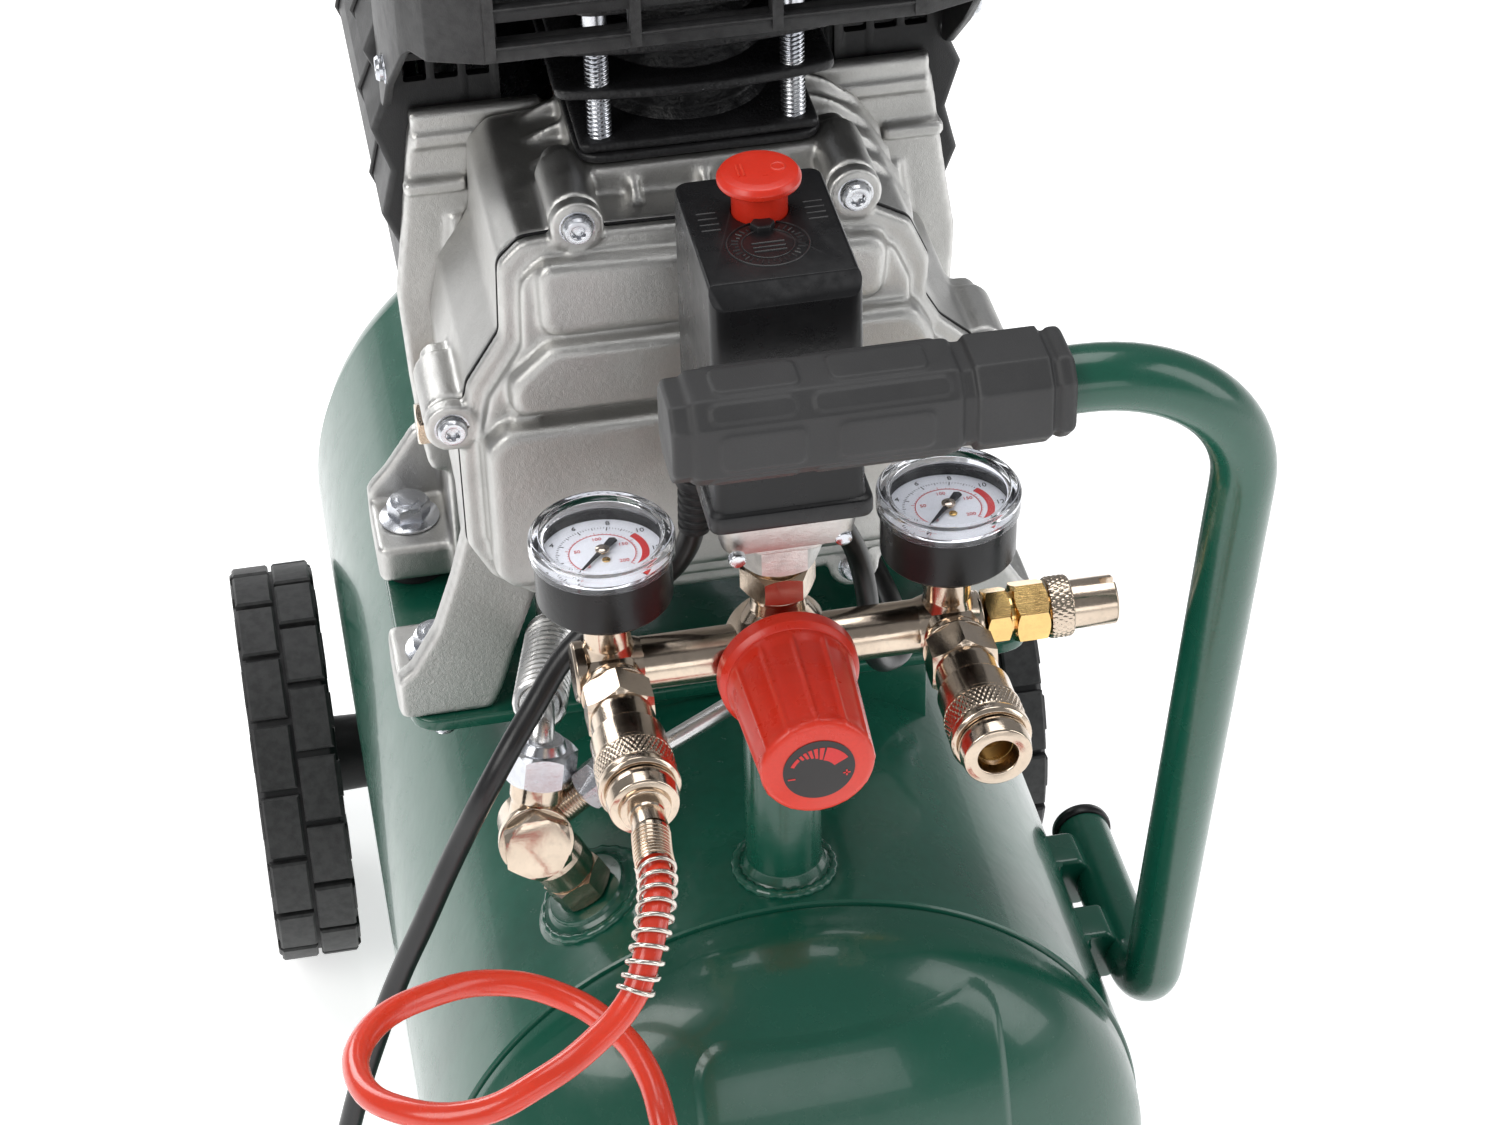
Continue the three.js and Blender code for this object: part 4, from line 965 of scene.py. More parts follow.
def add_post():
    top = post_high.z
    profile = [(17.5, 286.2), (15.6, 289.6), (13.4, 291.4), (12, 294.5, 2), (12, top - 0.8, 0),
               (11.2, top, 0), (8.6, top, 0), (8.6, 300, 0)]
    lathe("manifold_post_tube", (CENTRE_X, 0, 0), (0, 0, 1), profile, MAT["green_paint"],
          "base", "manifold_post", radius=1.0)
    new_object("post_weld", *weld_data((CENTRE_X, 0), 15.2, 1.8, 0.5), MAT["green_paint"], "base")


VALVE_LEAN = math.radians(29)
VALVE_WAY = Vector((-math.sin(VALVE_LEAN), 0, math.cos(VALVE_LEAN)))
VALVE_FOOT = Vector((0, 15, TANK_Z))
VALVE = VALVE_FOOT + VALVE_WAY * 154


def add_valve_boss():
    lathe("valve_boss", VALVE_FOOT, VALVE_WAY, [
        (21, TANK_R - 2.0, 0), (18.5, TANK_R + 0.2, 1), (15.5, TANK_R + 1.0, 1),
        (14, TANK_R + 2.0, 1), (13.6, TANK_R + 3.5, 0.5), (7, TANK_R + 3.5, 0.3), (7, TANK_R, 0)],
        MAT["green_paint"], "base", radius=1.0)
    loop = []
    u, v = frame_along(VALVE_WAY)
    for k in range(73):
        a = 2 * math.pi * k / 72
        flat = VALVE_FOOT + (u * math.cos(a) + v * math.sin(a)) * 17.5
        spot = flat + VALVE_WAY * math.sqrt(TANK_R ** 2 - (flat - VALVE_FOOT).dot(
            VALVE_WAY.cross(Vector((0, 1, 0)))) ** 2)
        loop.append(tuple(spot + VALVE_WAY * 0.3))
    radii = [1.7 * (1 + 0.15 * math.sin(k * 1.9)) for k in range(73)]
    new_object("valve_boss_weld", *sweep_data(loop, radii, 12, cap=False),
               MAT["green_paint"], "base")


def add_saddles():
    """Two blocks weld the handle's lower leg to the tank's side."""
    for index, y in enumerate((28, 66)):
        outline = [(108, 189), (122, 189, 3), (126, 194, 2), (126, 204, 2), (121, 210, 3),
                   (110, 210)]
        prism(f"handle_saddle_{index}", "y", fillet(outline, 1.0, closed=True), y, y + 16,
              MAT["green_paint"], "base", edge=1.6)
        weld = [(112.5, y - 1.0, 188.5 + k) for k in range(0, 23, 2)]
        new_object(f"saddle_weld_{index}", *sweep_data(
            weld, [1.6 * (1 + 0.15 * math.sin(k * 2.3)) for k in range(len(weld))], 10),
            MAT["green_paint"], "base")


def add_front_foot():
    y = sum(corner.y for corner in span("front_foot")) / 2
    plate = prism_data("z", rounded(80, 40, 5, 0, y), 36.3, 40, 0.8)
    sides = [prism_data("x", [(y - 20, 38), (y + 20, 38), (y + 20, 60), (y - 20, 62)],
                        x, x + 4, 0.8) for x in (-40, 36)]
    new_object("foot_bracket", *merge_data(plate, *sides), MAT["green_paint"], "base")
    ridges = [(0, 0), (24, 0, 1.5), (27, 4, 1.5), (27, 9, 1.5), (22.5, 13.5, 1.5), (21.6, 22, 0.5),
              (22.4, 23, 0.5), (22.4, 26, 0.5), (21.6, 27, 0.5), (22, 35.5, 0.8), (0, 35.9)]
    lathe("rubber_foot", (0, y, 0), (0, 0, 1), ridges, MAT["black_rubber"], "base",
          "front_foot", radius=1.0, segments=72)
    hex_bolt("foot_bolt_head", (0, y, 40), (0, 0, 1), 13, MAT["zinc_steel"], "base", 8.5)


def add_drain():
    at = (0, 200, 0)
    new_object("drain_fitting", *merge_data(
        lathe_data(at, (0, 0, 1), [(0, 31.2), (6, 31.2), (6, 37), (0, 37)], 40),
        hexagon_data(at, (0, 0, 1), 17, 36, 47.6),
        lathe_data(at, (0, 0, 1), [(0, 44), (5.7, 44), (5.7, 54), (0, 54)], 40)),
        MAT["brass"], "base", "drain_valve_body", smooth=math.radians(25))
    stem = lathe_data(at, (0, 0, 1), fillet(
        [(0, 22), (7, 22, 1), (7, 25, 0.5), (6, 26, 0.5), (7, 27, 0.5), (7, 30.7, 0.8), (0, 30.7)],
        0.5), 40)
    wing = prism_data("y", fillet([(-13, 17.4), (-4, 19), (4, 19), (13, 17.4), (13, 26), (6, 28),
                                   (-6, 28), (-13, 26)], 2.5, closed=True), 198, 202, 0.8)
    new_object("drain_wing", *merge_data(stem, wing), MAT["brass"], "drain_valve_knob",
               "drain_valve_knob")


def add_saddle_plate():
    top = prism_data("z", rounded(212, 112, 12, 0, 141), 292.2, 297, 1.0)
    parts = [top]
    for y in (88, 190):
        curve = [(-70 + 140 * k / 24) for k in range(25)]
        outline = [(x, tank_top(x) - 2.0) for x in curve] + [(70, 293.5), (-70, 293.5)]
        parts.append(prism_data("y", outline, y, y + 4, 0.6))
    new_object("engine_plate", *merge_data(*parts), MAT["green_paint"], "base", "saddle_plate")


def block_data(a0, a1, x0, x1, r0, r1, chamfer=0.9, steps=4):
    """A tread block round a wheel's rim, with its outer edges chamfered."""
    verts, faces = [], []
    lip = chamfer / r1
    between = [a0 + (a1 - a0) * k / steps for k in range(1, steps)]
    angles = [a0, a0 + lip] + between + [a1 - lip, a1]
    for n, a in enumerate(angles):
        end = n in (0, len(angles) - 1)
        crown = r1 - chamfer if end else r1
        inset = 0.0 if end else chamfer
        for x, r in ((x0, r0), (x0, r1 - chamfer), (x0 + inset, crown), (x1 - inset, crown),
                     (x1, r1 - chamfer), (x1, r0)):
            verts.append((x, WHEEL_Y + r * math.cos(a), WHEEL_R + r * math.sin(a)))
    for n in range(len(angles) - 1):
        for k in range(6):
            j = (k + 1) % 6
            faces.append([n * 6 + k, n * 6 + j, n * 6 + 6 + j, n * 6 + 6 + k])
    faces.append([0, 1, 2, 3, 4, 5])
    faces.append([len(verts) - 6 + k for k in range(6)])
    return verts, faces


def add_wheel(name, side):
    body = f"wheel_{name}"
    at, way = (0, WHEEL_Y, WHEEL_R), (side, 0, 0)
    tyre = [(56, 129), (60, 127.2, 1), (76, 127.2, 1.5), (79.6, 130, 1.5), (79.6, 158, 1.5),
            (76, 160.8, 1.5), (62, 160.8, 1), (60, 158), (56, 156), (56, 129)]
    hub = [(8.3, 113.2), (15.5, 113.2, 0.8), (16, 128), (20, 130.5), (52, 131.5), (57, 130),
           (57, 157), (52, 152.5), (30, 149.7), (24, 151), (22, 150.4), (8.3, 149.6), (8.3, 113.2)]
    lathe(f"tyre_{name}", at, way, tyre, MAT["black_rubber"], body, f"wheel_{name}",
          segments=120, radius=0.8)
    lathe(f"hub_{name}", at, way, hub, MAT["shroud_plastic"], body, segments=96, radius=1.0)
    blocks = []
    count = 18
    pitch = 2 * math.pi / count
    for k in range(count):
        for row, (x0, x1) in enumerate(((128.2, 143.3), (144.7, 159.8))):
            start = (k + 0.5 * row) * pitch
            sx0, sx1 = sorted((side * x0, side * x1))
            blocks.append(block_data(start, start + pitch * 0.9, sx0, sx1, 78.8, WHEEL_R))
            tab0, tab1 = sorted((side * (126.9 if row == 0 else 156),
                                 side * (132 if row == 0 else 160.9)))
            blocks.append(block_data(start + pitch * 0.1, start + pitch * 0.62, tab0, tab1,
                                     66, 80.6, 0.8))
    new_object(f"tread_{name}", *merge_data(*blocks), MAT["black_rubber"], body)
    ribs = []
    for k in range(12):
        a = 2 * math.pi * k / 12
        start = Vector((side * 152, WHEEL_Y + 24 * math.cos(a), WHEEL_R + 24 * math.sin(a)))
        end = Vector((side * 153.5, WHEEL_Y + 54.5 * math.cos(a), WHEEL_R + 54.5 * math.sin(a)))
        ribs.append(sweep_data([start, (start + end) / 2, end], [2.6, 2.2, 2.6], 10))
    new_object(f"hub_ribs_{name}", *merge_data(*ribs), MAT["shroud_plastic"], body)
    new_object(f"axle_cap_{name}", *merge_data(lathe_data(at, way, fillet(
        [(0, 150.2), (12.5, 150.2, 0.6), (12.8, 154, 1.2), (9, 156, 1.2), (0, 156)], 0.8), 56)),
        MAT["zinc_steel"], "base")


def add_wheel_brackets():
    for name, side in (("left", -1), ("right", 1)):
        at, way = (0, WHEEL_Y, WHEEL_R), (side, 0, 0)
        plate = prism_data("x", fillet([
            (WHEEL_Y - 24, 68), (WHEEL_Y + 24, 68), (WHEEL_Y + 24, 111), (WHEEL_Y - 24, 111)],
            5, closed=True), *sorted((side * 107.6, side * 112)), 0.8)
        arms = []
        for y in (WHEEL_Y - 24, WHEEL_Y + 20):
            outline = [(side * 80, 84), (side * 111, 84), (side * 111, 110),
                       (side * 102, 110), (side * 86, 90)]
            arms.append(prism_data("y", outline, y, y + 4, 0.6))
        new_object(f"wheel_bracket_plate_{name}", *merge_data(plate, *arms),
                   MAT["green_paint"], "base", f"wheel_bracket_{name}")
        lathe(f"stub_axle_{name}", at, way, [(0, 104), (13, 104), (13, 112.6, 1), (8, 112.6),
                                             (8, 150.4), (0, 150.4)],
              MAT["zinc_steel"], "base", radius=0.4)


def add_handle():
    route = bent([(HANDLE_X, 92, HANDLE_Z), (HANDLE_X, 7, HANDLE_Z),
                  (HANDLE_X, GRIP_Y, GRIP_Z), (-33, GRIP_Y, GRIP_Z)], (28, 52), 18)
    sweep("handle_bar", route, HANDLE_TUBE_R, MAT["green_paint"], "base", "handle_tube", sides=48)
    cap = [(0, 80), (7.2, 80), (7.2, 92.2), (10.4, 92.2, 0.5), (10.7, 94, 0.4), (10.3, 96.4, 0.9),
           (8, 97, 1), (0, 97)]
    lathe("handle_plug", (HANDLE_X, 0, HANDLE_Z), (0, 1, 0), cap, MAT["black_plastic"], "base",
          "handle_end_cap", radius=0.5)


def octagon(r, chamfer):
    half = [(r, chamfer), (chamfer, r), (-chamfer, r), (-r, chamfer), (-r, -chamfer),
            (-chamfer, -r), (chamfer, -r), (r, -chamfer)]
    return [(GRIP_Y + y, GRIP_Z + z) for y, z in half]


def facet_panel(x0, x1, width, degrees, distance, lift, corner):
    """A thin raised pad on one of the grip's faces."""
    verts, faces = prism_data("z", rounded(x1 - x0, width, corner, (x0 + x1) / 2, 0),
                              -1.0, lift, 0.0)
    c, s = math.cos(math.radians(degrees)), math.sin(math.radians(degrees))
    return [(x, GRIP_Y + c * (distance + h) - s * t, GRIP_Z + s * (distance + h) + c * t)
            for x, t, h in verts], faces


def add_grip():
    wide, slim = 14.2, 8.0
    diagonal = (wide + slim) / math.sqrt(2)
    parts = [prism_data("x", octagon(12.4, 7.2), -38, 73, 1.4),
             prism_data("x", octagon(wide - 0.5, slim - 0.2), -33, 42, 2.6),
             prism_data("x", octagon(wide - 0.3, slim - 0.1), 45, 66, 0.9),
             prism_data("x", octagon(13.2, 7.6), 67.5, 72.5, 1.6)]
    for flat in (0, 90, 180, 270):
        for x0, x1 in ((-25, -2), (7, 33)):
            parts.append(facet_panel(x0, x1, 11.5, flat, wide - 0.5, 0.75, 2.6))
    for corner in (45, 135, 225, 315):
        for x0, x1 in ((-27, -4), (1, 38)):
            parts.append(facet_panel(x0, x1, 5.4, corner, diagonal - 0.5, 0.7, 2.2))
    casting("grip_sleeve", parts, MAT["grip_rubber"], "base", "handle_grip", voxel=0.55, rounds=3)


add_tank()
add_nameplate_panel()
add_post()
add_valve_boss()
add_saddles()
add_front_foot()
add_drain()
add_saddle_plate()
for wheel_name, wheel_side in (("left", -1), ("right", 1)):
    add_wheel(wheel_name, wheel_side)
add_wheel_brackets()
add_handle()
add_grip()

# ------------------------------------------------------------ crankcase, cover and end shield
CASE_FRONT, CASE_BACK = 76.3, 149.7
CASE_OUTLINE = [
    (46, 486), (60, 478), (66, 464), (65, 450), (70, 441), (81, 431), (83, 418), (83, 376),
    (77, 363), (62, 354), (46, 350), (-46, 350), (-62, 354), (-76, 364), (-83, 378),
    (-83, 420), (-79, 438), (-68, 455), (-67, 480), (-60, 487), (-46, 488),
]
CASE_SPACE = [
    (42, 478), (54, 472), (60, 460), (60, 448), (66, 439), (76, 428), (78, 417), (78, 378),
    (73, 367), (60, 359), (44, 356),
]
COVER_SCREWS = [(x * side, z) for x, z in ((42.5, 491), (85, 424), (41.4, 350))
                for side in (1, -1)]
STUDS = [(sx * STUD_PITCH / 2, BORE_Y + sy * STUD_PITCH / 2)
         for sx in (-1, 1) for sy in (-1, 1)]
BORE_R = 21.3


def bar_data(axis, at, r, low, high, segments=48):
    way = {"x": (1, 0, 0), "y": (0, 1, 0), "z": (0, 0, 1)}[axis]
    start = AXES[axis](at[0], at[1], 0)
    return lathe_data(start, way, [(0, low), (r, low), (r, high), (0, high)], segments)


def inset_outline(outline, amount):
    """An outline moved inwards, for a stepped or sloping face."""
    flat = [Vector(p) for p in outline]
    if sum(a.cross(b) for a, b in zip(flat, flat[1:] + flat[:1])) < 0:
        flat.reverse()
    out = []
    for i, corner in enumerate(flat):
        one = (corner - flat[i - 1]).normalized()
        two = (flat[(i + 1) % len(flat)] - corner).normalized()
        normal = Vector((-one.y - two.y, one.x + two.x)).normalized()
        squeeze = max(0.5, normal.dot(Vector((-one.y, one.x))))
        out.append(tuple(corner + normal * amount / squeeze))
    return out


def add_crankcase():
    leg = [(60, 380), (82, 374), (88, 352), (95, 332), (104, 317), (109, 313), (109, 297.3),
           (78, 297.3), (74, 306), (66, 330), (58, 350)]
    core = [(60, 380), (82, 373), (81, 312), (79, 297.3), (74, 306), (66, 330), (58, 350)]
    fin = [(34, 496), (48, 490), (58, 482), (66, 470), (68, 456), (36, 456)]
    def flip(outline): return [(-x, z) for x, z in outline]
    parts = [prism_data("y", fillet(CASE_OUTLINE, 6, closed=True), CASE_FRONT, CASE_BACK, 1.0)]
    parts += [bar_data("y", at, 8.3, CASE_FRONT, 104) for at in COVER_SCREWS]
    parts += [bar_data("y", at, 5.6, 100, 112) for at in COVER_SCREWS]
    for outline in (leg, flip(leg)):
        parts.append(prism_data("y", fillet(outline, 4, closed=True), 87.4, 95, 1.2))
    for outline in (core, flip(core)):
        parts.append(prism_data("y", fillet(outline, 4, closed=True), 88, 122, 1.0))
    for side in (-1, 1):
        parts.append(prism_data("z", rounded(32, 34, 4, side * 93.2, 105), 297.3, 311, 1.0))
    for outline in (fin, flip(fin)):
        for y in (98, 113, 128, 142):
            parts.append(prism_data("y", fillet(outline, 9, closed=True), y, y + 3.4, 0.8))
    parts.append(prism_data("z", rounded(76, 57, 8, 0, 121.2), 470, CYLINDER_BASE - 0.3, 1.0))
    parts.append(prism_data("z", rounded(76, 40, 6, 0, 151), 490, CYLINDER_BASE - 0.3, 1.0))
    for x in (-22, 0, 22):
        parts.append(prism_data("x", [(80, 484), (96, 484), (96, 494), (92, 494)], x - 1.5,
                                x + 1.5, 0.4))
    parts.append(bar_data("y", (0, CRANK_Z), 50, 148, 165.5))
    parts.append(bar_data("x", (133, 384), 9.5, -82, -60))
    cutters = [
        prism_data("y", mirror_outline(CASE_SPACE), 70, 144),
        bar_data("y", (0, CRANK_Z), 40, 143, 152), bar_data("y", (0, CRANK_Z), 10.4, 148, 170),
        bar_data("z", (0, BORE_Y), BORE_R + 2, 472, 510),
    ]
    casting("crankcase_casting", parts, MAT["cast_aluminium"], "base", "crankcase",
            voxel=1.15, rounds=5, cutters=cutters)


def add_cover():
    lip = fillet(CASE_OUTLINE, 6, closed=True)
    dome = [
        (40, 479), (54, 472), (59, 460), (59, 449), (65, 439), (75, 427), (77, 414), (77, 380),
        (71, 368), (58, 360), (44, 357), (-44, 357), (-58, 360), (-71, 369), (-77, 381),
        (-77, 418), (-73, 435), (-62, 452), (-61, 475), (-55, 481), (-40, 482),
    ]
    dome = fillet(dome, 7, closed=True)
    panels = [
        ([(50, 456), (52, 478), (-54, 482), (-56.5, 478), (-56, 456)], 64.5),
        ([(60, 430), (67, 440), (60, 453), (-54, 454.5), (-67, 443), (-67, 430)], 61.5),
        ([(69, 367), (75, 374), (75, 421), (69, 427), (-70, 427), (-76, 421), (-76, 373),
          (-70, 367)], 58.5),
    ]
    parts = [
        prism_data("y", lip, 72.2, CASE_FRONT - 0.3, 0.5),
        prism_data("y", inset_outline(lip, 1.0), 71.4, 74, 0.5),
        prism_data("y", dome, 68.0, 74, 1.2),
    ]
    parts += [bar_data("y", at, 8.3, 70.5, CASE_FRONT - 0.3) for at in COVER_SCREWS]
    for outline, face in panels:
        steps = 4
        for k in range(steps):
            t = k / (steps - 1)
            soft = fillet(inset_outline(outline, 2.6 * t * t), 6.5, closed=True)
            parts.append(prism_data("y", soft, face + (1 - t) ** 1.5 * 3.2, 72))
    for x, half in ((-62, 4), (62, 4)):
        parts.append(prism_data("y", fillet(block_outline(x - half, x + half, 426, 431), 2,
                                            closed=True), 66, 72, 0.6))
    casting("cover_casting", parts, MAT["cast_aluminium"], "base", "crankcase_cover",
            voxel=0.85, rounds=5)
    for index, (x, z) in enumerate(COVER_SCREWS):
        socket_screw(f"cover_screw_{index}", (x, 70.5, z), (0, -1, 0), 4.6,
                     MAT["zinc_steel"], "base")
    gasket = fillet(inset_outline(CASE_OUTLINE, -0.25), 6, closed=True)
    prism("cover_gasket", "y", gasket, CASE_FRONT - 0.5, CASE_FRONT + 0.3, MAT["lead_rubber"],
          "base", edge=0.0)


def add_end_shield():
    half = [(84, 487), (85.5, 478), (87, 466), (90.5, 440), (93, 424), (91.5, 390), (89.7, 366),
            (87.5, 352), (62, 346), (46, 345)]
    web = [(78, 346), (90, 346), (94, 340), (101, 330), (108, 322), (108, 304.2), (78, 304.2)]
    parts = [prism_data("y", fillet(mirror_outline(half), 5, closed=True), 150.2, 156, 0.8)]
    for side in (-1, 1):
        x0, x1 = sorted((side * 42, side * 84))
        parts.append(bar_data("x", (153, 487), 3.0, x0, x1, 32))
        parts.append(prism_data("x", [(148.6, 478), (151, 478), (151, 482), (148.6, 482)],
                                x0, x1, 0.5))
        a, b = sorted((side * 68, side * 88))
        parts.append(prism_data("x", fillet(block_outline(146.4, 151, 461.5, 466.5), 1,
                                            closed=True), a, b, 0.8))
        rib = [(side * 70, 452), (side * 74, 452), (side * 80, 404), (side * 76, 404)]
        parts.append(prism_data("y", rib, 147.6, 151, 0.6))
        a, b = sorted((side * 79, side * 108))
        parts.append(prism_data("z", rounded(b - a, 35.8, 4, (a + b) / 2, 172), 304.2, 318, 1.4))
        parts.append(prism_data("y", fillet([(side * x, z) for x, z in web], 4, closed=True),
                                184, 189.8, 1.0))
        a, b = sorted((side * 76, side * 82))
        parts.append(prism_data("x", block_outline(150.4, 189.6, 304.2, 345.6), a, b, 1.0))
        parts.append(prism_data("x", block_outline(150.4, 155.8, 304.2, 355.6), a, b, 1.0))
    cutters = [bar_data("y", (0, CRANK_Z), 50.4, 140, 160),
               bar_data("z", (0, BORE_Y), BORE_R + 3, 470, 500)]
    casting("shield_casting", parts, MAT["cast_aluminium"], "base", "end_shield",
            voxel=1.1, rounds=4, cutters=cutters)


def add_feet_bolts():
    for side in (-1, 1):
        name = "left" if side < 0 else "right"
        for index, (x, y, foot_top) in enumerate(((94, 106, 311.2), (95, 172, 318.2))):
            x *= side
            hex_bolt(f"foot_bolt_{name}_{index}", (x, y, foot_top), (0, 0, 1), 13,
                     MAT["zinc_steel"], "base", flange=10.5, height=7.5)
            thread(f"foot_bolt_end_{name}_{index}", (x, y, 0), (0, 0, 1), 4.0,
                   tank_top(x) + 1 if index else 277, 296, MAT["zinc_steel"], "base")
            hexagon(f"foot_nut_{name}_{index}", (x, y, 0), (0, 0, 1), 13, 286.5, 291.8,
                    MAT["zinc_steel"], "base")
            if index:
                lathe(f"foot_bush_{name}", (x, y, 0), (0, 0, 1), [
                    (0, 297.2), (11.5, 297.2, 0.6), (11.9, 300.5), (11.2, 303.9, 0.6),
                    (0, 303.9)], MAT["black_rubber"], "base")
            else:
                lathe(f"foot_washer_{name}", (x, y, 0), (0, 0, 1), [
                    (0, 297.1), (12, 297.1, 0.3), (12, 299.6, 0.3), (0, 299.6)],
                    MAT["zinc_steel"], "base")


def add_oil_plug():
    at = (0, 133, 384)
    new_object("oil_filler_plug", *merge_data(
        lathe_data(at, (-1, 0, 0), fillet([(0, 83.4), (8.2, 83.4, 0.4), (8.2, 85.6, 0.5),
                                           (0, 85.6)], 0.4), 48),
        hexagon_data(at, (-1, 0, 0), 13, 85.4, 92)), MAT["nickel"], "base", "oil_plug",
        math.radians(25))


# ------------------------------------------------------------ cylinder and head
def fin_outline(half_x, half_y, bulge):
    """A fin plate: ends straight, front and back bowed outwards."""
    points = []
    for k in range(13):
        t = k / 12 * 2 - 1
        points.append((half_x * t, BORE_Y - half_y - bulge * (1 - t * t)))
    points += [(x, 2 * BORE_Y - y) for x, y in reversed(points)]
    return fillet(points, 7, closed=True)


def add_cylinder():
    square = rounded(76, 76, 9, 0, BORE_Y)
    parts = [
        lathe_data((0, BORE_Y, 0), (0, 0, 1), fillet([
            (0, CYLINDER_BASE), (30, CYLINDER_BASE), (28, 503, 3), (25.4, 506, 2),
            (25.2, 514, 2), (27, 517, 1), (27, 521, 1), (25.2, 524, 2), (25, 529, 2),
            (27, 532, 1), (27, 536, 1), (25, 539, 2), (25, 545, 3), (28, CYLINDER_TOP - 5),
            (28, CYLINDER_TOP), (0, CYLINDER_TOP)], 1.0), 80),
        prism_data("z", square, CYLINDER_BASE, CYLINDER_BASE + 2.8, 0.9),
        prism_data("z", fin_outline(37, 36.5, 0.8), CYLINDER_BASE + 3.1, CYLINDER_BASE + 6.2, 1.2),
        prism_data("z", square, CYLINDER_TOP - 6, CYLINDER_TOP, 1.2),
        prism_data("z", fin_outline(43, 32, 5), 517, 520.6, 1.1),
        prism_data("z", fin_outline(43, 32, 5), 532, 535.6, 1.1),
    ]
    body = new_object("cylinder_casting", *merge_data(*parts), MAT["black_iron"], None)
    carve(body, bar_data("z", (0, BORE_Y), BORE_R, 490, 560, 64))
    finish_mesh(body, MAT["black_iron"], "base", "cylinder")


def add_studs():
    for index, (x, y) in enumerate(STUDS):
        front = y < BORE_Y
        name = {True: "left", False: "right"}[x < 0]
        replaces = f"cylinder_stud_{name}" if front else ()
        shank = lathe_data((x, y, 0), (0, 0, 1), fillet(
            [(0, 536), (3.9, 536, 0.5), (3.9, 573.6, 0.5), (0, 573.8)], 0.3), 32)
        nut = hexagon_data((x, y, 0), (0, 0, 1), 12.5, 564.3, 571)
        new_object(f"stud_{index}", *merge_data(shank, nut), MAT["zinc_steel"], "base",
                   replaces, math.radians(25))
        thread(f"stud_thread_{index}", (x, y, 0), (0, 0, 1), 3.95, 485.5, 536.5,
               MAT["zinc_steel"], "base", pitch=1.5, depth=0.75)


def add_head():
    plate_top = span("valve_plate")[1].z
    parts = [
        prism_data("z", rounded(76, 76, 9, 0, BORE_Y), plate_top + 0.3, 564, 1.0),
        prism_data("z", rounded(72, 42, 6, 0, BORE_Y), 562, 572, 1.2),
        bar_data("y", (-18, 572), 7.5, 150, 176),
    ]
    parts += [prism_data("x", fillet([(112, 570), (154, 570), (154, 584), (150, 588), (116, 588),
                                      (112, 584)], 1, closed=True), x - 1.4, x + 1.4, 0.5)
              for x in (-33, -22, -11, 0, 11, 22, 33)]
    new_object("head_casting", *merge_data(*parts), MAT["cast_aluminium"], "base",
               "cylinder_head")


# ------------------------------------------------------------ plastic shrouds
def add_shroud():
    def plan(inset):
        return mirror_outline([
            (66 - inset / 2, 78 + inset), (82 - inset, 83.5 + inset / 2), (89 - inset, 96),
            (92 - inset, 128), (92 - inset, 156 + (5 if inset else 0))])
    slots = []
    for z in (551, 563.5, 576, 588.5):
        for x0, x1 in ((-63, -23), (-19.5, 19.5), (23, 63)):
            slots.append(prism_data("y", fillet(block_outline(x0, x1, z, z + 7), 1.2,
                                                closed=True), 70, 88))
    vents = [prism_data("z", rounded(120, 6, 2.5, 0, y), 598, 620) for y in (103, 119, 135)]
    below = [(60, 470), (60, 545), (92, 545), (150, 494), (170, 486), (170, 470)]
    obj = new_object("head_visor", *prism_data("z", plan(0), 486, 612, 3.0),
                     MAT["shroud_plastic"], None)
    carve(obj, prism_data("z", plan(3), 480, 609))
    carve(obj, prism_data("x", below, -100, 100), *slots, *vents)
    bevel = obj.modifiers.new("edges", "BEVEL")
    bevel.width, bevel.segments, bevel.limit_method = 0.7 * MM, 2, "ANGLE"
    bevel.angle_limit = math.radians(40)
    apply_modifiers(obj)
    finish_mesh(obj, MAT["shroud_plastic"], "base", "head_shroud")
    ribs = []
    for x0, x1 in ((-64, -22), (-20, 20), (22, 64)):
        for z in (549.2, 561.7, 574.2, 586.7):
            ribs.append(prism_data("x", fillet([(77.6, z), (84, z), (84, z + 1.6),
                                                (76.6, z + 1.6)], 0.4, closed=True), x0, x1, 0.3))
    for x in (-63.8, -21, 21, 63.8):
        ribs.append(prism_data("z", block_outline(x - 1.6, x + 1.6, 76.9, 84), 546, 606, 0.5))
    new_object("visor_ribs", *merge_data(*ribs), MAT["shroud_plastic"], "base")
    inner = []
    for k in range(9):
        z = 552 + 6.5 * k
        inner.append(prism_data("x", [(92, z), (94, z), (97, z + 3), (95, z + 3)], -70, 70, 0.3))
    new_object("visor_louvres", *merge_data(*inner), MAT["lead_rubber"], "base")


